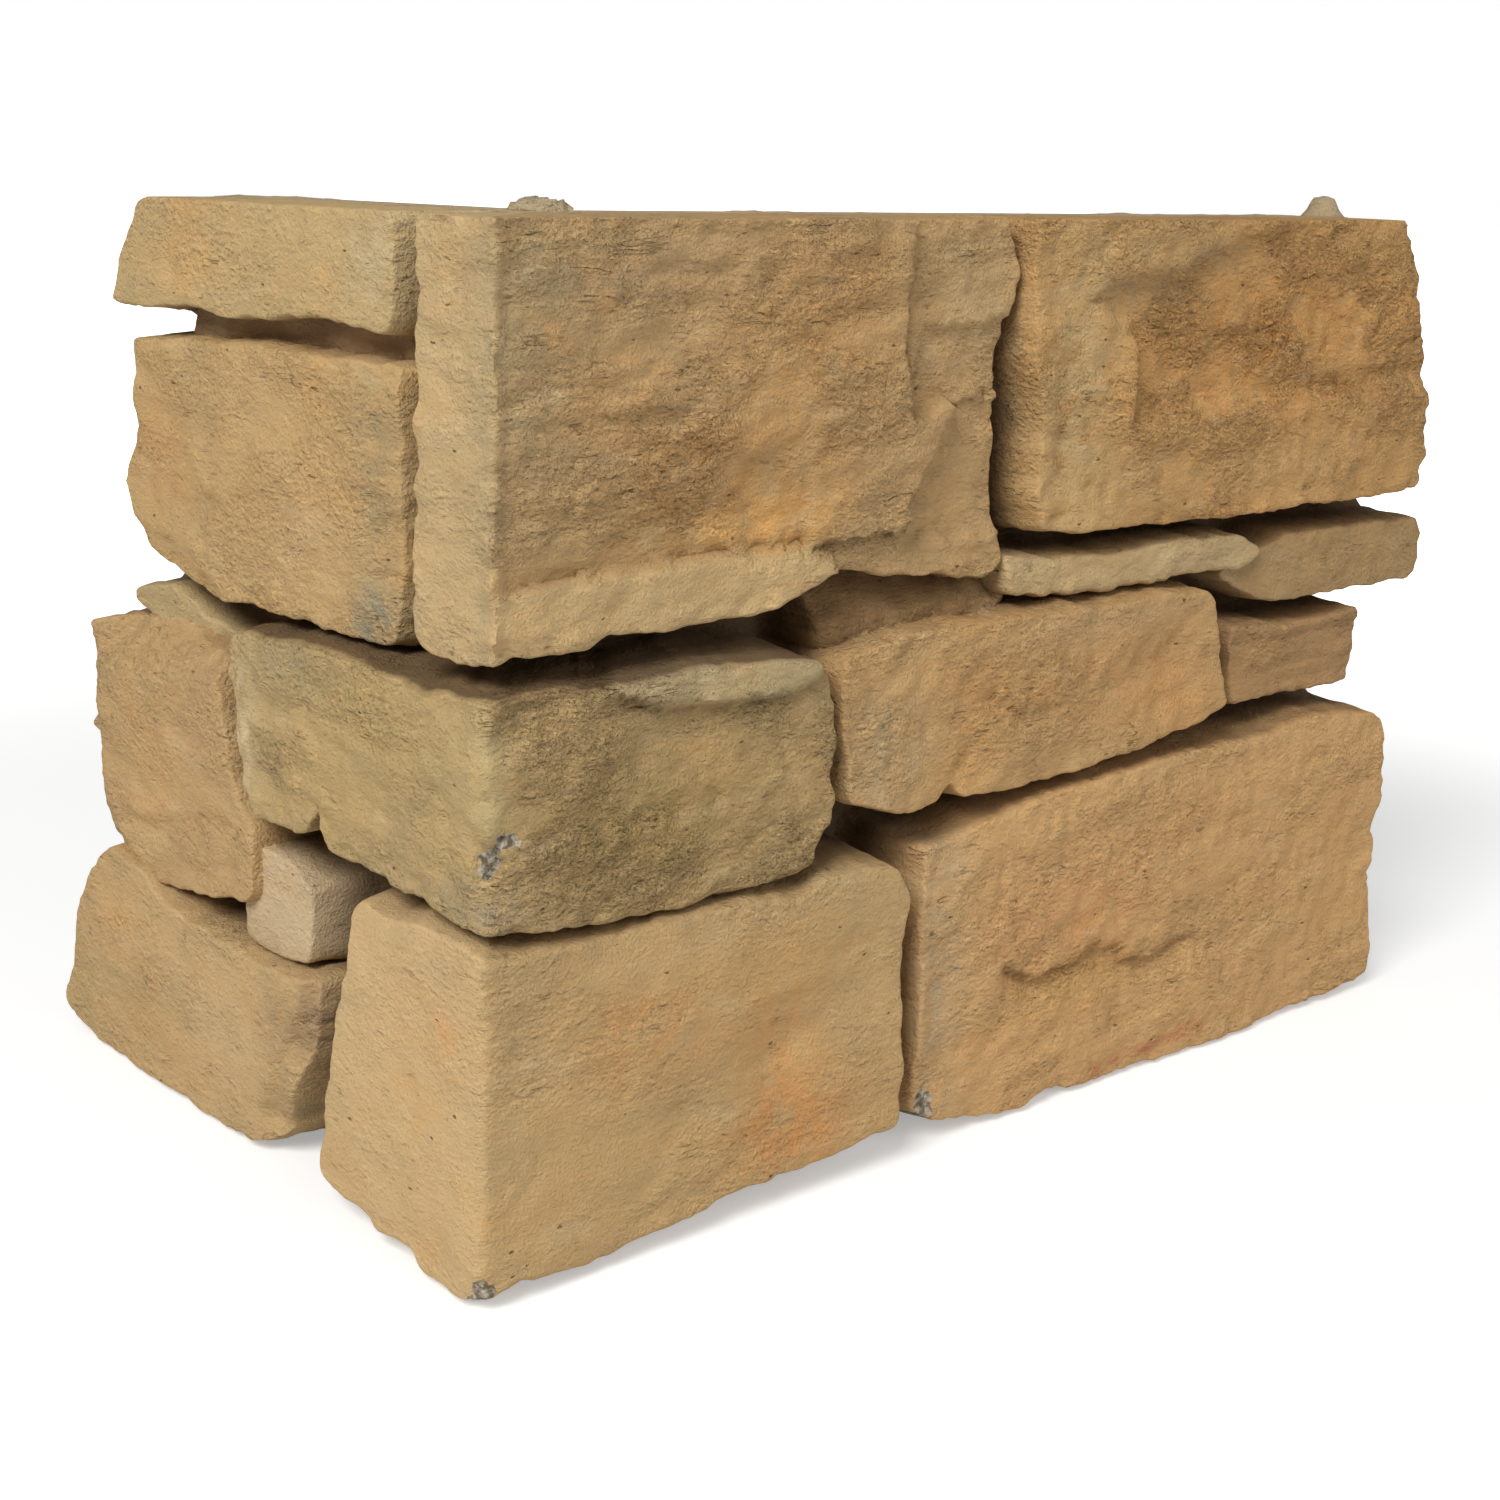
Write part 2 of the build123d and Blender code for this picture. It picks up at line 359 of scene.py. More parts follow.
@dataclass(frozen=True)
class Grain:
    """The rough cleft surface of a stone: broad waves, bedding ribs and small scallops, as heights in mm."""

    waves: float = 0.9
    ribs: float = 0.5
    scallops: float = 0.7
    flakes: float = 0.5
    lean: float = 0.04

    WAVE_CELL = (48.0, 30.0)
    WAVE_SLICE = 3.5
    RIB_CELL = (30.0, 6.5)
    RIB_SLICE = 9.1
    SCALLOP_CELL = (10.0, 6.0)
    SCALLOP_SLICE = 1.7
    FLAKE_CELL = (6.5, 4.2)
    FLAKE_SLICE = 22.0
    FLAKE_LEAN = 0.3
    FLAKE_TOP = 0.6
    FLAKE_SLOPE = 2.2

    def height(self, s: Array, z: Array, noise: Noise) -> Array:
        """Sum of four noises, each in its own cells: the broad waves, the ribs in long low cells that lean a
        little, the scallops, and sharp-edged flakes, which fall with the size of another noise.

        Args:
            s: places along the face.
            z: heights.
            noise: the stone's own noise.

        Returns:
            Heights in mm.
        """
        def laid(cell: Pair, lean: float, slice_at: float) -> Array:
            """Places in a noise's cells, on its own slice of the noise."""
            return stacked(s / cell[0], (z - lean * s) / cell[1], slice_at)

        broad = noise.layers(laid(self.WAVE_CELL, 0.0, self.WAVE_SLICE), 2)
        bedded = noise.layers(laid(self.RIB_CELL, self.lean, self.RIB_SLICE), 2)
        small = noise.layers(laid(self.SCALLOP_CELL, self.lean, self.SCALLOP_SLICE), 2)
        flake_size = np.abs(noise.at(laid(self.FLAKE_CELL, self.FLAKE_LEAN, self.FLAKE_SLICE)))
        flaked = self.FLAKE_TOP - self.FLAKE_SLOPE * flake_size
        return self.waves * broad + self.ribs * bedded + self.scallops * small + self.flakes * flaked


# Stones

class Wing(Enum):
    """Which of the returns a stone shows on."""

    LONG = "long"
    SHORT = "short"
    CORNER = "corner"


@dataclass(frozen=True)
class Casting:
    """Sizes that all the stones share."""

    height: float = 250.0
    long_reach: float = 313.0
    short_reach: float = 168.0
    backing: float = 22.0
    embed: float = 4.0
    spacing: float = 1.75
    side_spacing: float = 3.4
    draft: float = math.tan(math.radians(4.0))
    cove: float = 3.5
    cove_end: float = 0.92
    bed_ease: float = 1.0
    top_ease: float = 0.6


@dataclass(frozen=True)
class Tint:
    """Colours of one stone: on the long return, on the short return, how strong its stains are, and how
    strong its fine grain is on each return."""

    long: Colour = (0.45, 0.27, 0.115)
    short: Colour = (0.50, 0.34, 0.165)
    rust: float = 0.3
    olive: float = 0.2
    grain_long: float = 1.0
    grain_short: float = 0.6


@dataclass
class Stone:
    """One stone of the facing, standing out of the backing.

    The outline is four sides, each a list of (s, z): bottom and top run from left to right as seen from
    outside, left and right from bottom to top. depth is the face's distance from the return's back.
    """

    name: str
    wing: Wing
    depth: float
    bottom: list[Pair]
    right: list[Pair]
    top: list[Pair]
    left: list[Pair]
    reliefs: list[Relief] = field(default_factory=list)
    # stains, and on some stones painted shade and light, laid over the tint
    marks: list[SoftPatch | Patch | ShadeLine] = field(default_factory=list)
    grain: Grain = Grain()
    tint: Tint = Tint()
    arris: float = 1.1
    corner_round: float = 2.0
    ragged: float = 0.8
    # painted shade on the sides that face up, under the stone above
    shaded_top: float = 0.0
    seed: int = 1
    casting: Casting = Casting()

    # Least counts, cells in mm and strengths of the noises that shape every stone's edge and sides
    LEAST_STEPS = 4
    EASING = {-2: 0.12, -1: 0.23, 0: 0.30, 1: 0.23, 2: 0.12}
    OUTLINE_SEED = 500
    OUTLINE_NOISES = ((11.0, 0.9, 0.0), (4.2, 0.75, 40.0))
    OTHER_AXIS = 31.7
    WOBBLE_CELL = 7
    WOBBLE_SLICE = 60.0
    WOBBLE_GAIN = 0.6
    SIDE_SEED = 900
    WEAR_CELL = 14
    WEAR_SLICE = 5.0
    WEAR_LEVEL = 0.9
    WEAR_RANGE = (0.35, 2.2)
    SIDE_CELL = (9, 4, 4)
    SIDE_LEVEL = 0.6
    BED_CELL = (40, 40, 2.6)
    BED_SHIFT = (0, 0, 50)
    BED_LEVEL = 0.5
    ARRIS_TURNS = (math.pi / 6, math.pi / 3, math.pi / 2)
    RIM = 1.5
    RIM_FADE = 5
    TURN_WIDTH = 4
    TURN_RAGGED = 0.4
    UPWARD = 0.5
    UPWARD_FADE = 0.3
    ARRIS_SHADE = 0.3

    def place(self, s: Array, z: Array, inward: Array) -> Array:
        """Points of the stone in the part's frame.

        On one return a point lies straight in from the face. A stone that turns the corner is carried round
        it: its layers share the diagonal, each shrinks towards it, and the arris is a quarter circle of
        radius corner_round. A hyperbola keeps the points above the bed and below the top.

        Args:
            s: places along the face.
            z: heights.
            inward: distances in from the plane of the face, negative where the face stands proud of it.

        Returns:
            An array of points, in mm.
        """
        z = (z + np.sqrt(z * z + self.casting.bed_ease)) / 2
        under = self.casting.height - z
        z = self.casting.height - (under + np.sqrt(under * under + self.casting.top_ease)) / 2
        if self.wing is Wing.LONG:
            return stacked(s - self.depth, inward - self.depth, z)
        if self.wing is Wing.SHORT:
            return stacked(inward - self.depth, -s - self.depth, z)
        reach = np.where(s >= 0, self.right[0][0], -self.left[0][0])
        round_by = self.corner_round
        run = s * (1 - inward / reach)
        turn = math.pi / 4 * np.clip(run / round_by, -1.0, 1.0) - 3 * math.pi / 4
        start = inward - self.depth + round_by
        x = start + round_by * np.cos(turn) + np.maximum(run - round_by, 0.0)
        y = start + round_by * np.sin(turn) + np.maximum(-run - round_by, 0.0)
        return stacked(x, y, z)

    def outline_loop(self) -> tuple[Array, int, int]:
        """The outline as an even loop of points, with its corners eased and its edge ragged.

        Each side is divided evenly by its length, the loop is smoothed by a bell-shaped average of its
        neighbours, and two noises move each point.

        Returns:
            The loop's (s, z), from the lower left corner anticlockwise, and the counts of steps along the
            bottom and up a side.
        """
        def length(side: list[Pair]) -> float:
            """Length of a side."""
            return float(np.hypot(*np.diff(np.array(side), axis=0).T).sum())

        spacing = self.casting.spacing
        across = max(self.LEAST_STEPS, round((length(self.bottom) + length(self.top)) / 2 / spacing))
        up = max(self.LEAST_STEPS, round((length(self.left) + length(self.right)) / 2 / spacing))

        def divided(side: list[Pair], steps: int) -> Array:
            """The side as steps + 1 points an equal way apart."""
            points = np.array(side, float)
            gone = np.concatenate([[0.0], np.cumsum(np.hypot(*np.diff(points, axis=0).T))])
            even = np.linspace(0.0, gone[-1], steps + 1)
            return np.stack([np.interp(even, gone, axis) for axis in points.T], axis=1)

        loop = np.concatenate([
            divided(self.bottom, across)[:-1],
            divided(self.right, up)[:-1],
            divided(self.top, across)[::-1][:-1],
            divided(self.left, up)[::-1][:-1],
        ])
        loop = sum(weight * np.roll(loop, shift, axis=0) for shift, weight in self.EASING.items())
        noise = Noise(self.seed + self.OUTLINE_SEED)
        for cell, strength, lift in self.OUTLINE_NOISES:
            at = stacked(loop[:, 0] / cell, loop[:, 1] / cell, lift)
            shove = np.stack([noise.at(at), noise.at(at + self.OTHER_AXIS)], axis=1)
            loop = loop + self.ragged * strength * shove
        return loop, across, up

    def below_top(self, z: Array) -> Array:
        """1 below the casting's top and 0 on it, where the side lies open and isn't darkened as the joint is.
        """
        return smooth_step((self.casting.height - self.RIM - z) / self.RIM_FADE)

    def wobble(self, s: Array, z: Array) -> Array:
        """Noise that makes the edges of reliefs and marks ragged."""
        at = stacked(s / self.WOBBLE_CELL, z / self.WOBBLE_CELL, self.WOBBLE_SLICE)
        return Noise(self.seed).layers(at, 3, self.WOBBLE_GAIN)

    def face_height(self, s: Array, z: Array) -> Array:
        """How far the face stands out of its plane: the grain and every relief added up."""
        wobble = self.wobble(s, z)
        total = self.grain.height(s, z, Noise(self.seed))
        for relief in self.reliefs:
            total = total + relief.height(s, z, wobble)
        return total

    def surfaces(self) -> tuple[Array, Array, Array, Array]:
        """The stone's closed surface.

        The face is a grid filled in between its four sides and raised by the reliefs. From the face's edge,
        rings go round the arris as a quarter circle, then down the side, which leans outward by the draft
        and the side's own noise and flares into the backing as a quarter circle. The last ring is closed by
        a plain grid in the backing.

        Returns:
            The points in mm, the quads, each point's share of the way down the side, and its (s, z).
        """
        cast = self.casting
        loop, across, up = self.outline_loop()
        tangent = np.roll(loop, -2, axis=0) - np.roll(loop, 2, axis=0)
        normal = np.stack([tangent[:, 1], -tangent[:, 0]], axis=1)
        normal /= np.linalg.norm(normal, axis=1, keepdims=True)
        edge_noise = Noise(self.seed + self.SIDE_SEED)
        worn = edge_noise.layers(stacked(*(loop / self.WEAR_CELL).T, self.WEAR_SLICE), 2)
        arris = self.arris * np.clip(1 + self.WEAR_LEVEL * worn, *self.WEAR_RANGE)
        grid = filled(loop - normal * arris[:, None], across, up)
        height = self.face_height(grid[..., 0], grid[..., 1])
        face = self.place(grid[..., 0], grid[..., 1], -height)

        edge_index = grid_edge(across, up)
        edge_height = height.reshape(-1)[edge_index]
        root = self.depth - cast.backing + cast.embed
        at_backing = self.depth - cast.backing
        rings = []
        shares = []
        for turn in self.ARRIS_TURNS:
            out = -arris * (1 - math.sin(turn))
            rings.append((out, arris * (1 - math.cos(turn)) - edge_height))
            shares.append(0.0)
        start = arris - edge_height
        steps = max(self.LEAST_STEPS + 1, round((root - self.arris) / cast.side_spacing))
        for step in range(1, steps + 1):
            share = step / steps
            inward = start + (root - start) * share
            into_cove = np.clip((inward - at_backing + cast.cove) / cast.cove, 0.0, cast.cove_end)
            flare = cast.cove * (1 - np.sqrt(1 - into_cove * into_cove))
            at = stacked(*loop.T, inward)
            rough = self.SIDE_LEVEL * self.ragged * edge_noise.layers(at / self.SIDE_CELL, 2)
            layered = self.BED_LEVEL * edge_noise.at(at / self.BED_CELL + self.BED_SHIFT)
            lean = cast.draft * (inward - start)
            rings.append((lean + flare + rough + layered, inward))
            shares.append(share)
        layers = [self.place(*(loop + normal * out[:, None]).T, inward) for out, inward in rings]

        count = len(loop)
        first = face.shape[0] * face.shape[1]
        points = [face.reshape(-1, 3)] + layers
        # Painted shade on the sides: darker with the share of the way down into the joint, partly joint
        # colour and partly painted shade; sides that face up get shaded_top of painted shade, as under the
        # stone above, and the arris ARRIS_SHADE of that
        shade_on_tops = self.shaded_top * smooth_step((normal[:, 1] - self.UPWARD) / self.UPWARD_FADE)
        shade_on_arris = self.ARRIS_SHADE * shade_on_tops
        depths = [np.zeros(first)]
        depths += [
            np.maximum(share, shade_on_tops if share > 0 else shade_on_arris) * self.below_top(layer[:, 2])
            for share, layer in zip(shares, layers)
        ]
        quads = [grid_quads(across, up)]
        before = edge_index
        for ring in range(len(layers)):
            here = np.arange(count) + first + ring * count
            quads.append(np.stack([before, here, np.roll(here, -1), np.roll(before, -1)], axis=1))
            before = here
        last = first + (len(layers) - 1) * count
        cap_index, cap_points = self.cap(layers[-1], across, up, last, first + len(layers) * count)
        points.append(cap_points)
        depths.append(np.ones(len(cap_points)))
        quads.append(cap_index)
        places = np.concatenate([
            grid.reshape(-1, 2), *[loop] * len(layers), np.zeros((len(cap_points), 2)),
        ])
        return np.concatenate(points), np.concatenate(quads), np.concatenate(depths), places

    @staticmethod
    def cap(
        ring: Array, across: int, up: int, ring_first: int, inner_first: int
    ) -> tuple[Array, Array]:
        """The grid that closes the stone's root, filled in between its four sides as the face is.

        Args:
            ring: the last ring's points.
            across: steps along the bottom.
            up: steps up a side.
            ring_first: index of the ring's first point.
            inner_first: index that the cap's first inner point gets.

        Returns:
            The quads, and the inner points.
        """
        index = np.zeros((up + 1, across + 1), int)
        index[1:-1, 1:-1] = np.arange((up - 1) * (across - 1)).reshape(up - 1, across - 1) + inner_first
        index.reshape(-1)[grid_edge(across, up)] = np.arange(2 * (across + up)) + ring_first
        quads = np.stack([index[:-1, :-1], index[1:, :-1], index[1:, 1:], index[:-1, 1:]], axis=-1)
        return quads.reshape(-1, 4), filled(ring, across, up)[1:-1, 1:-1].reshape(-1, 3)

    def long_side(self, places: Array) -> Array:
        """1 on the long return and 0 on the short one, with a ragged change at the corner's arris."""
        if self.wing is Wing.LONG:
            return np.ones(len(places))
        if self.wing is Wing.SHORT:
            return np.zeros(len(places))
        along, up = places.T
        return smooth_step(along / self.TURN_WIDTH + 0.5 + self.TURN_RAGGED * self.wobble(along, up))

    def colours(self, places: Array) -> Array:
        """Base colour at each point: the long return's or the short one's, with the marks laid over: stains,
        and some painted shade and light.
        """
        along, up = places.T
        wobble = self.wobble(along, up)
        side = self.long_side(places)[:, None]
        colour = side * np.array(self.tint.long) + (1 - side) * np.array(self.tint.short)
        for mark in self.marks:
            share = mark.cover(along, up, wobble)[:, None]
            colour = (1 - share) * colour + share * np.array(mark.colour)
        return colour

    def grainy(self, places: Array) -> Array:
        """How strong the fine grain is at each point: the return's, and more or less in the marks."""
        along, up = places.T
        wobble = self.wobble(along, up)
        side = self.long_side(places)
        total = side * self.tint.grain_long + (1 - side) * self.tint.grain_short
        for mark in self.marks:
            total = total + mark.rough * mark.cover(along, up, wobble)
        return np.maximum(total, 0.0)

    def chipped(self, places: Array) -> Array:
        """Share of bare chipped concrete at each point."""
        along, up = places.T
        wobble = self.wobble(along, up)
        covers = [relief.cover(along, up, wobble) for relief in self.reliefs if isinstance(relief, Chip)]
        return np.max([np.zeros(len(places))] + covers, axis=0)

    def build(self) -> bpy.types.Object:
        """The stone as a mesh of its own, with the colours and marks, painted shade and light among them,
        that it gives to the casting.
        """
        points, quads, depths, places = self.surfaces()
        piece = mesh_object(self.name, points, quads)
        dress(
            piece, self.colours(places), deep=depths, chip=self.chipped(places),
            grainy=self.grainy(places), rust=self.tint.rust, olive=self.tint.olive,
        )
        return piece


def filled(ring: Array, across: int, up: int) -> Array:
    """A grid filled in between the four sides of a ring: each point is the sum of the two straight blends of
    opposite sides less the blend of the four corners.

    Args:
        ring: points from the lower left corner anticlockwise.
        across: steps along the bottom.
        up: steps up a side.

    Returns:
        The points, in rows from the bottom up.
    """
    bottom = ring[: across + 1]
    right = ring[across : across + up + 1]
    top = ring[across + up : 2 * across + up + 1][::-1]
    left = np.concatenate([ring[2 * across + up :], ring[:1]])[::-1]
    u = np.linspace(0, 1, across + 1)[None, :, None]
    v = np.linspace(0, 1, up + 1)[:, None, None]
    return (
        (1 - v) * bottom[None] + v * top[None] + (1 - u) * left[:, None] + u * right[:, None]
        - (1 - u) * (1 - v) * bottom[0] - u * (1 - v) * bottom[-1]
        - (1 - u) * v * top[0] - u * v * top[-1]
    )


def grid_edge(across: int, up: int) -> Array:
    """Indices of a grid's edge points, from the lower left corner anticlockwise, for rows of across + 1."""
    index = np.arange((across + 1) * (up + 1)).reshape(up + 1, across + 1)
    return np.concatenate([index[0, :-1], index[:-1, -1], index[-1, ::-1][:-1], index[::-1, 0][:-1]])


def grid_quads(across: int, up: int) -> Array:
    """Quads of a grid of rows of across + 1 points, anticlockwise seen from outside."""
    index = np.arange((across + 1) * (up + 1)).reshape(up + 1, across + 1)
    return np.stack([index[:-1, :-1], index[:-1, 1:], index[1:, 1:], index[1:, :-1]], axis=-1).reshape(-1, 4)


# Meshes

def mesh_object(name: str, points: Array, faces: Array) -> bpy.types.Object:
    """A mesh object from points in mm and quads or triangles of one size.

    Args:
        name: the object's name.
        points: array of shape (n, 3).
        faces: array of indices, each row a face.

    Returns:
        The object, linked to the scene.
    """
    mesh = bpy.data.meshes.new(name)
    mesh.vertices.add(len(points))
    mesh.vertices.foreach_set("co", (points * METRES_PER_MM).astype(np.float32).reshape(-1))
    sides = faces.shape[1]
    mesh.loops.add(faces.size)
    mesh.loops.foreach_set("vertex_index", faces.reshape(-1).astype(np.int32))
    mesh.polygons.add(len(faces))
    mesh.polygons.foreach_set("loop_start", (np.arange(len(faces)) * sides).astype(np.int32))
    mesh.update(calc_edges=True)
    mesh.validate()
    piece = bpy.data.objects.new(name, mesh)
    bpy.context.scene.collection.objects.link(piece)
    return piece


def set_value(piece: bpy.types.Object, name: str, values: Array) -> None:
    """Writes one number for each point of a mesh."""
    attribute = piece.data.attributes.get(name) or piece.data.attributes.new(name, "FLOAT", "POINT")
    attribute.data.foreach_set("value", np.asarray(values, np.float32))


def set_colour(piece: bpy.types.Object, name: str, values: Array) -> None:
    """Writes one colour for each point of a mesh, with an alpha of 1."""
    full = np.ones((len(values), 4), np.float32)
    full[:, :3] = values
    attribute = piece.data.attributes.get(name) or piece.data.attributes.new(name, "FLOAT_COLOR", "POINT")
    attribute.data.foreach_set("color", full.reshape(-1))


def get_values(piece: bpy.types.Object, name: str) -> Array:
    """The numbers that a mesh holds under a name, one for each point."""
    values = np.zeros(len(piece.data.vertices), np.float32)
    piece.data.attributes[name].data.foreach_get("value", values)
    return values.astype(float)


def get_colours(piece: bpy.types.Object, name: str) -> Array:
    """The colours that a mesh holds under a name, four numbers for each point."""
    values = np.zeros(len(piece.data.vertices) * 4, np.float32)
    piece.data.attributes[name].data.foreach_get("color", values)
    return values.reshape(-1, 4).astype(float)


def dress(piece: bpy.types.Object, tint: Array | Colour, **levels: Array | float) -> None:
    """Writes what the finish reads from a piece: its tint, and each of LEVELS, which is 0 where not given.

    Args:
        piece: the piece.
        tint: one colour, or one for each point.
        levels: names in LEVELS, to one number or one for each point.
    """
    count = len(piece.data.vertices)
    set_colour(piece, "tint", np.broadcast_to(tint, (count, 3)))
    for name in LEVELS:
        set_value(piece, name, np.broadcast_to(levels.get(name, 0.0), count))
    set_value(piece, "known", np.ones(count))


# Backing and nubs

@dataclass
class Backing:
    """The L-shaped wall behind the stones, with ends toothed as the courses are.

    The ends are lists of (distance back from the return's far end, height).
    """

    casting: Casting = Casting()
    long_end: tuple[Pair, ...] = (
        (10, 0), (10, 92), (29, 98), (29, 133), (3, 139), (3, 236), (14, 250),
    )
    short_end: tuple[Pair, ...] = (
        (4, 0), (8, 60), (9, 127), (23, 142), (35, 150), (35, 238), (46, 250),
    )
    colour: Colour = (0.44, 0.33, 0.195)
    front_step: float = 3.0
    back_step: float = 14.0
    roughness: float = 0.6
    unshaded_rim: float = 4.0
    seed: int = 77

    OVER_STEPS = 6
    ROUGH_CELL = 9.0
    LAYER_CELL = (40.0, 40.0, 2.6)
    TOP_SHARE = 0.8

    @staticmethod
    def end_faces(level: Array, front_count: int, over_count: int) -> Array:
        """Triangles that close an end straight across the wall, as places in the cross-section's ring.

        Each step up the front meets the back's point nearest in height, and each step down the back meets the
        front's point where that nearest point changes. The top and bottom steps open as fans.

        Args:
            level: heights of the ring's points: up the front, over the top, down the back and under the bed.
            front_count: how many of them are on the front.
            over_count: how many are on the top, and again on the bed.

        Returns:
            The triangles, in the ring's own direction.
        """
        front = np.arange(front_count)
        over = front_count + np.arange(over_count)
        back = np.arange(front_count + over_count, len(level) - over_count)[::-1]
        under = len(level) - over_count + np.arange(over_count)
        middle = (level[front[:-1]] + level[front[1:]]) / 2
        nearest = np.abs(middle[:, None] - level[back]).argmin(axis=1)
        change = np.searchsorted(nearest, np.arange(len(back) - 1), side="right")
        top = np.concatenate([front[-1:], over, back[-1:]])
        bed = np.concatenate([back[:1], under, front[:1]])
        return np.concatenate([
            np.stack([front[1:-2], front[2:-1], back[nearest[1:-1]]], axis=1),
            np.stack([back[1:], back[:-1], front[change]], axis=1),
            np.stack([np.full(len(top) - 1, front[-2]), top[:-1], top[1:]], axis=1),
            np.stack([np.full(len(bed) - 1, front[1]), bed[:-1], bed[1:]], axis=1),
        ])

    def build(self) -> bpy.types.Object:
        """The wall as a mesh.

        A closed cross-section, up the front and down the back, is carried along the L from the short
        return's end to the long one's. Its corner is a mitre, and each height ends where its tooth says.
        """
        cast = self.casting
        front_up = np.linspace(0, cast.height, round(cast.height / self.front_step) + 1)
        back_down = np.linspace(cast.height, 0, round(cast.height / self.back_step) + 1)
        thick = cast.backing
        over = np.linspace(thick, 0, self.OVER_STEPS + 1)[1:-1]
        level = np.concatenate([
            front_up, np.full(len(over), cast.height), back_down, np.zeros(len(over)),
        ])
        out = np.concatenate([
            np.full(len(front_up), thick), over, np.zeros(len(back_down)), over[::-1],
        ])
        long_stop = cast.long_reach - np.interp(level, *np.array(self.long_end)[:, ::-1].T)
        short_stop = cast.short_reach - np.interp(level, *np.array(self.short_end)[:, ::-1].T)
        stations = round((cast.long_reach + cast.short_reach) / self.front_step)
        share = np.linspace(-1, 1, stations + 1)[:, None]
        reach = np.where(share < 0, short_stop + out, long_stop + out)
        run = np.abs(share) * reach
        corner = -np.broadcast_to(out, run.shape)
        x = np.where(share > 0, corner + run, corner)
        y = np.where(share < 0, corner + run, corner)
        z = np.broadcast_to(level, run.shape)
        points = stacked(x, y, z)
        noise = Noise(self.seed)
        rough = self.roughness * (
            noise.layers(points / self.ROUGH_CELL, 3) + noise.at(points / self.LAYER_CELL)
        )
        front = np.broadcast_to(out == thick, run.shape) & (z > 0) & (z < cast.height)
        top = np.broadcast_to((level == cast.height) & (out > 0) & (out < thick), run.shape)
        shift = np.where(front, rough, 0.0)
        points[..., 0] -= np.where(share < 0, shift, 0.0)
        points[..., 1] -= np.where(share >= 0, shift, 0.0)
        points[..., 2] += np.where(top, self.TOP_SHARE * rough, 0.0)
        ring = len(level)
        index = np.arange((stations + 1) * ring).reshape(stations + 1, ring)
        after = np.roll(index, -1, axis=1)
        sides = np.stack([index[:-1], index[1:], after[1:], after[:-1]], axis=-1).reshape(-1, 4)
        piece_points = points.reshape(-1, 3)
        split = np.concatenate([sides[:, [0, 1, 2]], sides[:, [0, 2, 3]]])
        ends = self.end_faces(level, len(front_up), len(over))
        piece_faces = np.concatenate([split, index[0][ends], index[-1][ends][:, ::-1]])
        piece = mesh_object("backing", piece_points, piece_faces)
        # The backing's front behind the stones gets the dark joint colour, partly its own and partly painted
        # shade, all but a rim at the top
        shaded_joint = (front & (points[..., 2] < cast.height - self.unshaded_rim)).reshape(-1)
        dress(piece, self.colour, deep=np.where(shaded_joint, 1.0, 0.0), grainy=0.7, olive=0.2)
        return piece


def closed_ends(
    points: Array, sides: Array, first: Array, last: Array
) -> tuple[Array, Array]:
    """A tube closed at both ends by fans to the middle of each end ring.

    Args:
        points: the tube's points.
        sides: its quads.
        first: the first ring's indices, in the order of the tube's cross-section.
        last: the last ring's.

    Returns:
        The points with the two middles added, and all faces as triangles.
    """
    middles = np.stack([points[first].mean(axis=0), points[last].mean(axis=0)])
    start = np.stack([first, np.roll(first, -1), np.full(len(first), len(points))], axis=1)
    end = np.stack([np.roll(last, -1), last, np.full(len(last), len(points) + 1)], axis=1)
    split = np.concatenate([sides[:, [0, 1, 2]], sides[:, [0, 2, 3]]])
    return np.concatenate([points, middles]), np.concatenate([split, start, end])


@dataclass
class Nub:
    """A small casting nub on the top: a profile of (radius, height above the top) turned about the vertical
    and roughened."""

    name: str
    centre: Pair
    profile: tuple[Pair, ...]
    stretch: float = 1.0
    roughness: float = 0.4
    colour: Colour = (0.42, 0.33, 0.20)
    seed: int = 5
    casting: Casting = Casting()

    AROUND = 28
    ROUGH_CELL = 3.5

    def build(self) -> bpy.types.Object:
        """The nub as a mesh that runs a little way into the casting."""
        radii, heights = np.array(self.profile, float).T
        turn = np.linspace(0, 2 * math.pi, self.AROUND, endpoint=False)
        x = self.centre[0] + self.stretch * radii[:, None] * np.cos(turn)
        y = self.centre[1] + radii[:, None] * np.sin(turn)
        z = np.broadcast_to(self.casting.height + heights[:, None], x.shape)
        points = stacked(x, y, z)
        noise = Noise(self.seed)
        cells = points / self.ROUGH_CELL
        shove = np.stack([noise.layers(cells + lift, 2) for lift in (0.0, 20.0, 40.0)], axis=-1)
        points = points + self.roughness * shove
        index = np.arange(len(radii) * self.AROUND).reshape(len(radii), self.AROUND)
        after = np.roll(index, -1, axis=1)
        sides = np.stack([index[:-1], after[:-1], after[1:], index[1:]], axis=-1).reshape(-1, 4)
        piece_points, piece_faces = closed_ends(points.reshape(-1, 3), sides, index[0][::-1], index[-1][::-1])
        piece = mesh_object(self.name, piece_points, piece_faces)
        dress(piece, self.colour, chip=0.3, grainy=1.0, rust=0.1, olive=0.5)
        return piece


# Shader expressions

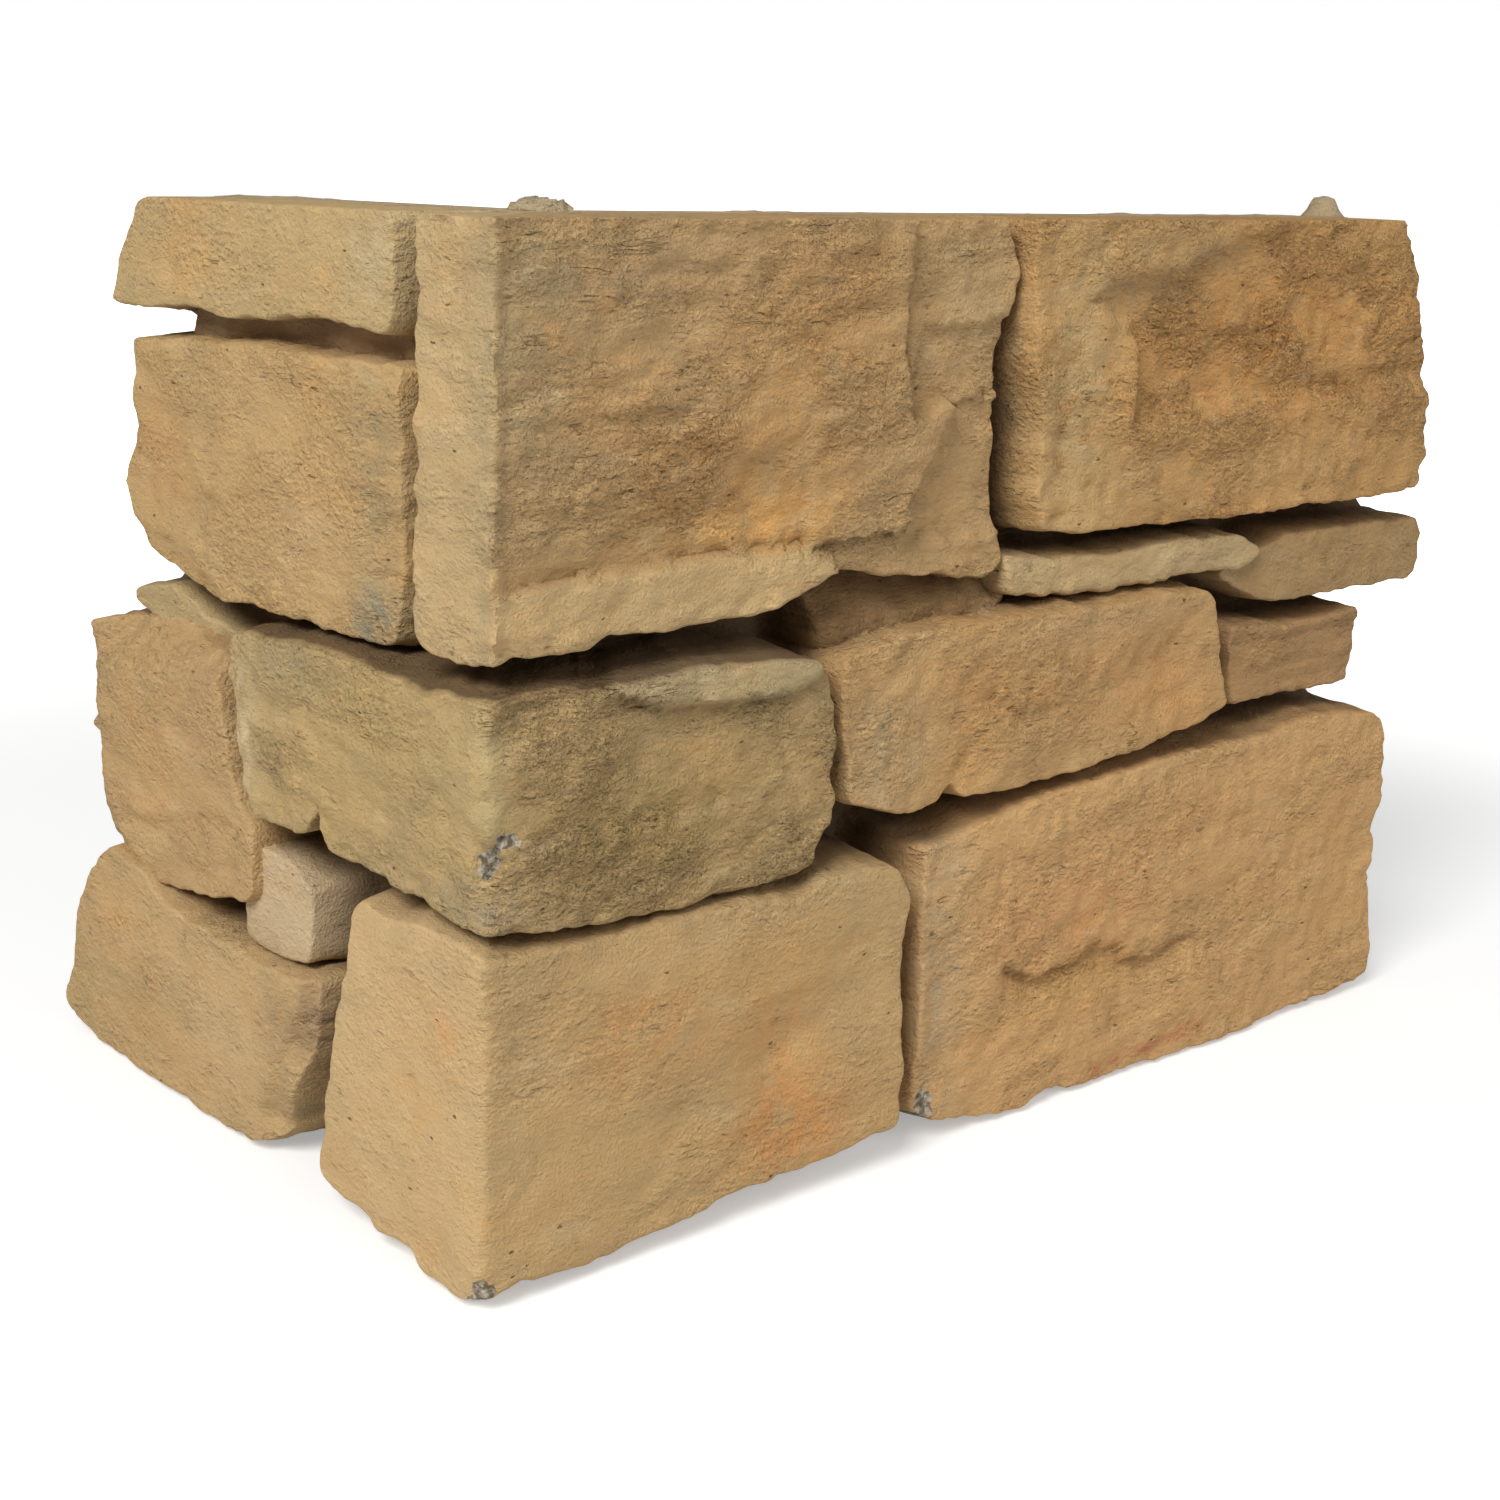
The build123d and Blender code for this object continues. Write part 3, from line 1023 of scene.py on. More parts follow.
class Tree:
    """A material's node tree, with one method that adds any node."""

    def __init__(self, name: str) -> None:
        """Starts an empty material.

        Args:
            name: the material's name.
        """
        self.material = bpy.data.materials.new(name)
        self.material.use_nodes = True
        self.nodes = self.material.node_tree.nodes
        self.links = self.material.node_tree.links
        self.nodes.clear()

    def add(self, kind: str, settings: dict | None = None, **sockets: object) -> bpy.types.Node:
        """A node of a type, with its settings and the values or links of its sockets.

        Args:
            kind: the node's type.
            settings: attributes of the node; "stops" gives a ramp's (place, colour) pairs.
            sockets: socket names, with underscores for spaces, or "i" and a number, to values or Values.

        Returns:
            The node.
        """
        node = self.nodes.new(kind)
        for key, value in (settings or {}).items():
            if key == "stops":
                ramp = node.color_ramp.elements
                while len(ramp) < len(value):
                    ramp.new(0.5)
                for element, (position, colour) in zip(ramp, value):
                    element.position = position
                    element.color = (*colour, 1.0)
            else:
                setattr(node, key, value)
        for key, value in sockets.items():
            numbered = key[0] == "i" and key[1:].isdigit()
            socket = node.inputs[int(key[1:]) if numbered else key.replace("_", " ")]
            if isinstance(value, Value):
                self.links.new(value.socket, socket)
            else:
                socket.default_value = value
        return node

    def value(self, node: bpy.types.Node, output: str | int = 0) -> "Value":
        """An output of a node, as something to reckon with."""
        return Value(self, node.outputs[output])


class Value:
    """A number that varies over the surface. Arithmetic on it adds Math nodes."""

    def __init__(self, tree: Tree, socket: bpy.types.NodeSocket) -> None:
        """Wraps a socket of a tree."""
        self.tree = tree
        self.socket = socket

    def _math(self, operation: str, *operands: "Value | float", clamp: bool = False) -> "Value":
        """The result of a Math node."""
        inputs = {f"i{place}": operand for place, operand in enumerate(operands)}
        node = self.tree.add("ShaderNodeMath", {"operation": operation, "use_clamp": clamp}, **inputs)
        return self.tree.value(node)

    def __add__(self, other: "Value | float") -> "Value":
        """Sum."""
        return self._math("ADD", self, other)

    __radd__ = __add__

    def __sub__(self, other: "Value | float") -> "Value":
        """Difference."""
        return self._math("SUBTRACT", self, other)

    def __rsub__(self, other: "Value | float") -> "Value":
        """Difference, with the number first."""
        return self._math("SUBTRACT", other, self)

    def __mul__(self, other: "Value | float") -> "Value":
        """Product."""
        return self._math("MULTIPLY", self, other)

    __rmul__ = __mul__

    def size(self) -> "Value":
        """The number without its sign."""
        return self._math("ABSOLUTE", self)

    def clamped(self) -> "Value":
        """The number held between 0 and 1."""
        return self._math("ADD", self, 0.0, clamp=True)

    def ramp(self, low: float, high: float) -> "Value":
        """0 at low, 1 at high, and smooth between; low may be the greater."""
        node = self.tree.add(
            "ShaderNodeMapRange",
            {"interpolation_type": "SMOOTHSTEP", "clamp": True},
            Value=self, From_Min=low, From_Max=high, To_Min=0.0, To_Max=1.0,
        )
        return self.tree.value(node)

    def covered(self, cover: "Cover") -> "Value":
        """Share of a colour where this number lies between a cover's start and full."""
        share = self.ramp(cover.start, cover.full)
        return share if cover.most == 1.0 else share * cover.most


class Paint:
    """A colour that varies over the surface."""

    def __init__(self, tree: Tree, value: "Value") -> None:
        """Wraps a colour of a tree."""
        self.tree = tree
        self.value = value

    def mixed(self, other: "Colour | Paint", share: "Value | float", blend: str = "MIX") -> "Paint":
        """This colour with another laid over it.

        Args:
            other: the colour to lay.
            share: how much of it, from 0 to 1.
            blend: the way of mixing.

        Returns:
            The result.
        """
        top = other.value if isinstance(other, Paint) else (*other, 1.0)
        node = self.tree.add(
            "ShaderNodeMix",
            {"data_type": "RGBA", "blend_type": blend, "clamp_factor": True},
            i0=share, i6=self.value, i7=top,
        )
        return Paint(self.tree, self.tree.value(node, 2))

    def scaled(self, factor: "Value") -> "Paint":
        """This colour made lighter or darker by a factor."""
        node = self.tree.add("ShaderNodeVectorMath", {"operation": "SCALE"}, i0=self.value, Scale=factor)
        return Paint(self.tree, self.tree.value(node, 0))


@dataclass(frozen=True)
class Cloud:
    """A noise laid through the stone: its cells in mm, how many finer layers it has and how strong they are,
    and which part of the noise it reads."""

    cell: Triple
    detail: float
    rough: float = 0.55
    shift: float = 0.0


@dataclass(frozen=True)
class Cover:
    """How a colour is laid where a number is high: from none at start to most at full."""

    start: float
    full: float
    most: float = 1.0


@dataclass(frozen=True)
class CastSandstone:
    """The finish: pigmented concrete cast from split sandstone, dry and matt."""

    rust: Colour = (0.56, 0.29, 0.10)
    ochre: Colour = (0.50, 0.30, 0.115)
    olive: Colour = (0.31, 0.235, 0.12)
    pale: Colour = (0.60, 0.46, 0.27)
    # dark down the joints: partly the joints' own colour and partly painted shade
    shaded_joint: Colour = (0.14, 0.085, 0.042)
    pit: Colour = (0.09, 0.04, 0.012)
    # painted shade under the flakes' lower edges
    flake_shade: Colour = (0.18, 0.10, 0.04)
    chip: Colour = (0.30, 0.28, 0.24)
    chip_dark: Colour = (0.07, 0.065, 0.055)
    chip_light: Colour = (0.55, 0.50, 0.40)

    blotches: Cloud = Cloud((30, 30, 18), 4, 0.6)
    patches: Cloud = Cloud((60, 60, 34), 3, shift=7.0)
    pale_beds: Cloud = Cloud((26, 26, 9), 3, shift=19.0)
    rust_mottle: Cloud = Cloud((13, 13, 8), 4, 0.65, 37.0)
    olive_patches: Cloud = Cloud((42, 42, 26), 3, shift=31.0)
    rugged_areas: Cloud = Cloud((36, 36, 20), 2, shift=3.0)
    beds: Cloud = Cloud((26, 26, 2.8), 4, 0.6, 13.0)
    flake_warp: Cloud = Cloud((7, 7, 3.5), 3.0, 0.6)
    flake_crumb: Cloud = Cloud((2.4, 2.4, 1.3), 3, 0.65)
    grit: Cloud = Cloud((0.8, 0.8, 0.7), 3, 0.6, 11.0)
    crack_beds: Cloud = Cloud((44, 44, 5.5), 3, 0.6, 23.0)
    crack_areas: Cloud = Cloud((11, 11, 7), 2, shift=5.0)
    chip_edge: Cloud = Cloud((4.4, 4.4, 2.3), 4, 0.6)
    chip_speckle: Cloud = Cloud((2.0, 2.0, 2.0), 3, 0.6, 41.0)

    ochre_cover: Cover = Cover(0.50, 0.78, 0.35)
    pale_cover: Cover = Cover(0.54, 0.78, 0.25)
    rust_cover: Cover = Cover(0.0, 0.35, 0.6)
    mottle_cover: Cover = Cover(0.54, 0.76)
    olive_cover: Cover = Cover(0.0, 0.4, 0.6)
    shaded_joint_cover: Cover = Cover(0.0, 0.62, 0.88)
    rugged_cover: Cover = Cover(0.36, 0.62)
    flake_shade_cover: Cover = Cover(-0.17, -0.33)
    crack_cover: Cover = Cover(0.60, 0.66)
    pit_cover: Cover = Cover(0.06, 0.03)
    chip_cover: Cover = Cover(0.52, 0.64)

    flake_cell: Triple = (3.4, 3.4, 1.7)
    flake_shove: Triple = (1.4, 1.4, 0.9)
    light_rise: float = 0.55
    pit_cell: Triple = (15, 15, 6.5)
    pit_shift: float = 4.0
    crack_narrow: float = 80.0
    plate_level: float = 0.3
    crumb_level: float = 0.8
    flake_level: float = 0.72
    bed_level: float = 0.26
    calm_grain: float = 0.45
    rugged_grain: float = 0.75
    stain_gain: float = 0.4
    stain_need: float = 0.62
    mottle_least: float = 0.25
    mottle_level: float = 0.7
    brightness: float = 0.915
    # Painted light and shade on the grain: light_level for the flakes' lit tops and shaded undersides,
    # relief_level for darker low places
    light_level: float = 0.8
    relief_level: float = 0.4
    blotch_level: float = 0.3
    flake_shade_level: float = 0.45
    crack_level: float = 0.3
    crack_depth: float = 0.12
    pit_level: float = 0.7
    pit_depth: float = 0.2
    pit_ragged: float = 0.12
    chip_level: float = 0.8
    chip_ragged: float = 1.6
    chip_need: float = 0.8
    least_bump: float = 0.15
    grain_bump: float = 0.9
    smooth_high: float = 0.08
    roughness: float = 0.92
    specular: float = 0.2
    grain_depth: float = 0.0025
    grit_depth: float = 0.0008

    def build(self) -> bpy.types.Material:
        """The material: the stone's own tint with blotches, flakes, hairline cracks, pits and chips laid over
        it, and dark down the joints, partly joint colour and partly painted shade; its bump is the same
        flakes, cracks and pits with a fine grit.

        The painted light on the flakes is their height less their height a little way up, so that each flake
        has a painted highlight on its upper side and painted shade under its lower edge."""
        tree = Tree("cast sandstone")
        place = tree.value(tree.add("ShaderNodeTexCoord"), "Object")

        def spot(cell: Triple, shift: float = 0.0, above: float = 0.0) -> Value:
            """Object coordinates in cells of the given sizes in mm, read the given mm above the point."""
            sizes = tuple(1 / (METRES_PER_MM * size) for size in cell)
            moved = (shift, shift, shift + above / cell[2])
            return tree.value(tree.add("ShaderNodeMapping", None, Vector=place, Location=moved, Scale=sizes))

        def noise(kind: Cloud, above: float = 0.0) -> bpy.types.Node:
            """The noise node of a cloud, read the given mm above the point."""
            return tree.add(
                "ShaderNodeTexNoise", {"noise_dimensions": "3D"},
                Vector=spot(kind.cell, kind.shift, above), Scale=1.0,
                Detail=kind.detail, Roughness=kind.rough,
            )

        def cloud(kind: Cloud, above: float = 0.0) -> Value:
            """A cloud's number of 0 to 1."""
            return tree.value(noise(kind, above))

        def cells(at: Value) -> bpy.types.Node:
            """The node of a pattern of random cells, one to each unit of the given coordinates."""
            return tree.add(
                "ShaderNodeTexVoronoi", {"voronoi_dimensions": "3D", "feature": "F1"},
                Vector=at, Scale=1.0, Randomness=1.0,
            )

        def flakes(above: float = 0.0) -> Value:
            """Height of the flakes, each a flat plate with a ragged outline, the given mm above the point."""
            warped = tree.add(
                "ShaderNodeVectorMath", {"operation": "MULTIPLY_ADD"},
                i0=tree.value(noise(self.flake_warp, above), "Color"), i1=self.flake_shove,
                i2=spot(self.flake_cell, 0.0, above),
            )
            plates = tree.value(cells(tree.value(warped)), "Color")
            return plates * self.plate_level + cloud(self.flake_crumb, above) * self.crumb_level

        def held(name: str, output: str = "Fac") -> Value:
            """A number or colour that the mesh holds for each point."""
            node = tree.add("ShaderNodeAttribute", {"attribute_type": "GEOMETRY", "attribute_name": name})
            return tree.value(node, output)

        tint = Paint(tree, held("tint", "Color"))
        deep, rust, olive, chip = held("deep"), held("rust"), held("olive"), held("chip")

        blotch = cloud(self.blotches)
        flake = flakes()
        # Painted light: the flakes' height less their height light_rise mm up, high on their upper sides and
        # low under their lower edges
        lit = flake - flakes(self.light_rise)
        relief = flake * self.flake_level + cloud(self.beds) * self.bed_level
        rugged = cloud(self.rugged_areas).covered(self.rugged_cover)
        grainy = held("grainy") * (self.calm_grain + rugged * self.rugged_grain)
        # Painted shade under the flakes' lower edges
        flake_shade = lit.covered(self.flake_shade_cover)
        off_crack = ((cloud(self.crack_beds) - 0.5) * self.crack_narrow).size()
        cracks = (1.0 - off_crack).clamped() * cloud(self.crack_areas).covered(self.crack_cover)

        need = self.stain_need
        rusted = (rust * self.stain_gain + cloud(self.patches) - need).covered(self.rust_cover)
        mottled = cloud(self.rust_mottle).covered(self.mottle_cover) * (rust + self.mottle_least)
        greened = (olive * self.stain_gain + cloud(self.olive_patches) - need).covered(self.olive_cover)
        colour = tint
        colour = colour.mixed(self.ochre, blotch.covered(self.ochre_cover))
        colour = colour.mixed(self.pale, cloud(self.pale_beds).covered(self.pale_cover))
        colour = colour.mixed(self.rust, rusted)
        colour = colour.mixed(self.rust, mottled * self.mottle_level)
        colour = colour.mixed(self.olive, greened)
        # Painted light and shade on the grain, scaled into the colour
        flake_light = (lit * self.light_level + (relief - 0.5) * self.relief_level) * grainy
        colour = colour.scaled(self.brightness + flake_light + blotch * self.blotch_level)
        colour = colour.mixed(self.flake_shade, flake_shade * grainy * self.flake_shade_level)
        colour = colour.mixed(self.pit, cracks * (self.crack_level + grainy * self.crack_level))
        # Down the joints: partly dark joint colour, partly painted shade
        colour = colour.mixed(self.shaded_joint, deep.covered(self.shaded_joint_cover))

        off_pit = tree.value(cells(spot(self.pit_cell, self.pit_shift)), "Distance")
        pits = (off_pit + (flake - 0.5) * self.pit_ragged).covered(self.pit_cover)
        colour = colour.mixed(self.pit, pits * self.pit_level)
        chipped = (chip + cloud(self.chip_edge) * self.chip_ragged - self.chip_need).covered(self.chip_cover)
        speckled = Paint(tree, tree.value(tree.add(
            "ShaderNodeValToRGB",
            {"stops": [(0.40, self.chip_dark), (0.5, self.chip), (0.60, self.chip_light)]},
            Fac=cloud(self.chip_speckle),
        )))
        colour = colour.mixed(speckled, chipped * self.chip_level)

        cut = relief - cracks * self.crack_depth
        raised = cut * (self.least_bump + grainy * grainy * self.grain_bump) - pits * self.pit_depth
        grain = tree.add(
            "ShaderNodeBump", None, Strength=1.0, Distance=self.grain_depth, Height=raised,
        )
        fine = tree.add(
            "ShaderNodeBump", None, Strength=1.0, Distance=self.grit_depth,
            Height=cloud(self.grit), Normal=tree.value(grain),
        )
        shader = tree.add(
            "ShaderNodeBsdfPrincipled", None,
            Base_Color=colour.value,
            Roughness=self.roughness - self.smooth_high * relief,
            Normal=tree.value(fine),
            Specular_IOR_Level=self.specular,
        )
        out = tree.add("ShaderNodeOutputMaterial")
        tree.links.new(shader.outputs[0], out.inputs[0])
        return tree.material


# The casting

@dataclass
class CornerPiece:
    """The whole casting: the backing, the stones and the nubs joined as one body."""

    casting: Casting = Casting()
    finish: CastSandstone = CastSandstone()
    sharp_from: float = 62.0

    SURE = 0.999
    HEAL_ROUNDS = 6

    def corner_stones(self) -> list[Stone]:
        """The three stones that turn the corner, with the strip and the slab that stand proud on them."""
        strip = (
            (-3, 130), (1, 168.6), (27.6, 170.1), (55.7, 171.4), (83.9, 170.6), (94.5, 170.9), (103, 168),
            (106, 164), (104, 130),
        )
        slab = (
            (38, 143), (49.5, 139.0), (67.3, 137.5), (91.3, 136.6), (98.8, 139.8), (103, 146), (97, 160),
            (31, 160), (31, 147),
        )
        corner_top = Stone(
            "corner_top", Wing.CORNER, 50.0,
            bottom=[
                (-30.5, 153), (-19.5, 151.4), (-5, 152.3), (3, 154), (27, 154), (31, 156), (70, 156),
                (85, 157), (94.5, 160.4), (105, 164), (112, 162.5), (120, 161.4), (145, 159), (162, 156),
                (171, 160),
            ],
            right=[
                (171, 160), (166.5, 171), (166, 187), (164.5, 208), (167, 224), (169.5, 235), (166, 250.6),
            ],
            top=[(-28.7, 250.6), (0, 250.6), (166, 250.6)],
            left=[(-30.5, 153), (-31.3, 158), (-30.4, 191), (-29.5, 222), (-28.7, 250.6)],
            reliefs=[
                Spall((
                    (127.8, 262), (127.9, 236.8), (126.7, 225.8), (126.7, 216.6), (129.4, 203.7),
                    (129.3, 198.6), (146, 204.5), (139.9, 193.4), (135.3, 187.2), (130.5, 177.8),
                    (127.5, 172.4), (107.4, 171.7), (94.5, 170.9), (103.2, 168.1), (105.7, 163.8),
                    (104, 140), (190, 140), (190, 262),
                ), drop=3.6, soft=0.8, slope=0.01, ragged=1.2),
                Spall((
                    (136, 223), (165, 224.5), (176, 224), (176, 205), (146, 204), (131, 201), (131, 212),
                ), drop=2.0, soft=1.0),
                Spall((
                    (146, 205), (144.9, 191), (135, 184.8), (131, 176), (128, 168), (180, 166), (180, 205),
                ), drop=2.2, soft=2.5),
                Spall(strip, drop=-1.4, soft=0.6, ragged=0.5),
                Ledge((
                    (-1, 168.4), (27.6, 170.1), (55.7, 171.4), (83.9, 171.4), (97, 171.4),
                ), drop=2.8, soft=0.6, fade=11.0, ragged=0.5, ends=5.0, over=True),
                Swell((70, 180), (34, 9), -1.8),
                Spall(((1.6, 120), (1.6, 280), (240, 280), (240, 120)), drop=1.2, soft=0.9, ragged=2.0),
                Ledge(((20, 241), (60, 239), (92, 241)), drop=0.6, soft=0.6, fade=3.0),
                Ledge(((0, 216), (25, 215), (48, 217)), drop=0.7, soft=0.6, fade=3.0),
                Ledge(((6, 205), (30, 207), (58, 206)), drop=0.8, soft=0.6, fade=3.5),
            ],
            marks=[
                # Darker orange-brown on the hollow above the strip: partly the stone's colour, partly painted
                # shade
                SoftPatch((60, 190), (36, 16), (0.4, 0.215, 0.075), 0.6, 0.5),
                SoftPatch((84, 178), (22, 6), (0.66, 0.36, 0.12), 0.95, -0.3),
                SoftPatch((24, 238), (36, 12), (0.33, 0.235, 0.125), 0.6),
                SoftPatch((95, 212), (36, 30), (0.48, 0.27, 0.105), 0.55, 0.3),
                SoftPatch((8, 225), (12, 22), (0.36, 0.265, 0.135), 0.6, -0.4),
                SoftPatch((12, 190), (20, 16), (0.35, 0.245, 0.125), 0.45),
                # The strip's paler face: partly its own colour, partly painted light where it stands proud
                Patch(strip, (0.525, 0.37, 0.18), 0.75, -0.3),
                # Painted shadows: dark lines just above the strip's lip and along the step's edges, where
                # their shadows fall
                ShadeLine((
                    (4, 170), (27.6, 171.6), (55.7, 172.9), (83.9, 172.3), (96, 172.4),
                ), 1.1, (0.3, 0.17, 0.065), 0.55),
                ShadeLine((
                    (129, 237), (127.8, 225.8), (127.8, 216.6), (130.4, 204),
                ), 1.3, (0.25, 0.155, 0.07), 0.7),
                ShadeLine((
                    (136.3, 187.2), (131.5, 177.8), (128, 171.6), (107.4, 170.7), (97, 170),
                ), 1.2, (0.25, 0.155, 0.07), 0.6),
                SoftPatch((-3, 200), (3, 60), (0.38, 0.3, 0.165), 0.55),
                SoftPatch((150, 225), (14, 22), (0.5, 0.34, 0.165), 0.6),
            ],
            tint=Tint(long=(0.435, 0.282, 0.13), short=(0.5, 0.355, 0.178), olive=0.35, grain_short=0.7),
            grain=Grain(waves=1.0, ribs=0.8, scallops=0.8, flakes=0.4), corner_round=1.8, seed=11,
            casting=Casting(spacing=1.4),
        )
        corner_middle = Stone(
            "corner_middle", Wing.CORNER, 53.0,
            bottom=[
                (-106.6, 94), (-88, 96), (-79, 96), (-74, 103), (-70, 104), (-69, 94), (-44, 94.8),
                (-25, 93.3), (-9, 92), (3, 92), (33, 89), (60, 88), (94, 88.4),
            ],
            right=[(94, 88.4), (102, 90), (101.6, 96), (106.7, 103), (105.8, 131), (104, 138.6), (98, 145)],
            top=[
                (-121, 139), (-116, 142.4), (-85, 145), (-55, 145.6), (-30, 144.4), (-4, 146.3), (8, 146),
                (31, 145), (60, 147), (98, 145),
            ],
            left=[(-106.6, 94), (-113.3, 98.4), (-117.4, 115.5), (-124.2, 129.7), (-121, 139)],
            reliefs=[
                Spall(slab, drop=-2.2, soft=0.7, ragged=0.4),
                Ledge((
                    (30, 142.5), (49.5, 138.6), (67.3, 137.1), (91.3, 136.2), (98, 138),
                ), drop=2.4, soft=0.6, fade=6.0, ragged=0.3, ends=8.0),
                Ledge((
                    (40, 134), (52, 131.5), (62, 131),
                ), drop=1.4, soft=0.7, fade=5.0, ragged=0.6, ends=5.0),
                Spall((
                    (-11.6, 142), (-22, 139), (-27.3, 129.3), (-25, 124), (-23.2, 122.4), (-8.8, 118.2),
                    (0, 110), (5, 120), (2, 145),
                ), drop=-1.0, soft=1.6, ragged=1.0),
                Spall(((0, 150), (2, 128), (12, 134), (24, 141), (30, 150)), drop=1.0, soft=2.0, slope=0.3),
                Spall((
                    (-130, 150), (-130, 90), (-106, 88), (-105, 100), (-112, 118), (-113, 134), (-108, 150),
                ), drop=0.5, slope=0.3),
                Chip((0.5, 109), (4.2, 4.5), 1.8),
                Chip((5, 113.5), (4.0, 2.0), 0.8),
                Swell((0, 98), (5, 6), -1.2),
                Seam((88, 126), (90, 118), 0.8, -0.9),
                Swell((-94, 112), (16, 14), -1.0),
                Ledge(((10, 118), (40, 116), (70, 118)), drop=0.6, fade=5.0),
            ],
            marks=[
                Patch(slab, (0.45, 0.355, 0.195), 0.75, -0.5),
                # Painted shadow: a dark line just under the slab's edge
                ShadeLine((
                    (38, 141.6), (49.5, 137.7), (67.3, 136.2), (91.3, 135.3), (98, 137.5),
                ), 1.2, (0.17, 0.11, 0.05), 0.6),
                SoftPatch((0, 126), (7, 16), (0.46, 0.37, 0.19), 0.7, -0.8),
                SoftPatch((-14, 128), (12, 14), (0.47, 0.35, 0.17), 0.6, -0.5),
                SoftPatch((-113, 118), (9, 26), (0.6, 0.46, 0.26), 0.85, -0.6),
                SoftPatch((-94, 112), (8, 6), (0.27, 0.2, 0.1), 0.5, 0.6),
                SoftPatch((-85, 138), (20, 8), (0.36, 0.29, 0.16), 0.5),
                SoftPatch((45, 112), (42, 20), (0.34, 0.235, 0.09), 0.6, 0.5),
                SoftPatch((-45, 125), (30, 20), (0.5, 0.34, 0.13), 0.4),
                SoftPatch((-30, 97), (26, 7), (0.33, 0.255, 0.14), 0.5),
                SoftPatch((-2, 98), (14, 7), (0.3, 0.25, 0.17), 0.5),
            ],
            tint=Tint(
                long=(0.385, 0.26, 0.118), short=(0.45, 0.315, 0.143), rust=0.0, olive=0.4, grain_long=1.3,
                grain_short=0.9,
            ),
            grain=Grain(waves=1.2, ribs=0.4, scallops=1.0, flakes=0.7), corner_round=5.5, shaded_top=0.85,
            seed=12,
        )
        corner_base = Stone(
            "corner_base", Wing.CORNER, 56.0,
            bottom=[
                (-72.5, 9.2), (-58.6, 6.7), (-49.7, 7), (-47.9, 4), (-38, 5), (-27.8, 6.5), (-26.9, 3),
                (-17, 2), (-7, 2.5), (2, 4), (13, 6), (21, 4), (33, 4), (45, 6), (58, 5.6), (73, 8), (90, 9),
                (114, 9.5), (137, 12.9),
            ],
            right=[(137, 12.9), (137, 27.6), (136, 54), (136, 77), (132, 86)],
            top=[
                (-55.5, 86), (-49.6, 88.5), (-42, 86.5), (-26, 89), (-8, 89), (8, 87), (32, 85.3),
                (57, 86.3), (81, 85.7), (98, 84), (110, 88), (132, 86),
            ],
            left=[(-72.5, 9.2), (-71.3, 19), (-68, 34), (-63.4, 57), (-59.5, 65.6), (-55.5, 86)],
            reliefs=[
                Seam((60, 34), (90, 44), 11.0, -1.6),
                Seam((90, 44), (124, 56), 9.0, -1.6),
                Spall((
                    (-3, 4), (1, 120), (240, 120), (240, -20), (-3, -20),
                ), drop=0.5, soft=0.8, ragged=1.6),
                Seam((-9.5, 2), (-8.6, 46), 2.6, 0.5),
                Seam((8.4, 67), (10, 61), 1.0, -0.9),
                Seam((6.6, 23.5), (14, 32), 0.9, -0.6),
                Seam((8.6, 22.5), (16.5, 32), 0.9, -0.6),
                Seam((5, 29), (11, 36), 0.9, -0.6),
                Swell((60, 88), (60, 5), -1.5),
                Chip((-1, 6), (5, 5), 1.0),
            ],
            marks=[
                SoftPatch((47, 60), (22, 14), (0.54, 0.3, 0.12), 0.65),
                SoftPatch((100, 24), (22, 15), (0.55, 0.275, 0.1), 0.9),
                SoftPatch((97, 50), (18, 14), (0.54, 0.29, 0.11), 0.7),
                SoftPatch((90, 68), (24, 7), (0.54, 0.33, 0.13), 0.7),
                SoftPatch((118, 52), (12, 26), (0.46, 0.32, 0.155), 0.5),
                # Painted shade: a darker band along the top, in the shadow of the stone above
                SoftPatch((50, 84), (70, 4), (0.4, 0.27, 0.13), 0.5),
                SoftPatch((-15, 66), (7, 8), (0.6, 0.34, 0.15), 0.6),
                SoftPatch((-32, 62), (8, 8), (0.59, 0.36, 0.16), 0.45),
                SoftPatch((-24, 43), (10, 14), (0.58, 0.36, 0.16), 0.45),
                SoftPatch((8, 45), (10, 40), (0.44, 0.31, 0.155), 0.5),
            ],
            tint=Tint(
                long=(0.48, 0.32, 0.146), short=(0.56, 0.39, 0.195), rust=0.15, olive=0.1, grain_long=0.75,
                grain_short=0.5,
            ),
            grain=Grain(waves=1.0, ribs=0.3, scallops=0.45, flakes=0.2), corner_round=2.4, shaded_top=0.12,
            seed=13,
        )
        return [corner_top, corner_middle, corner_base]

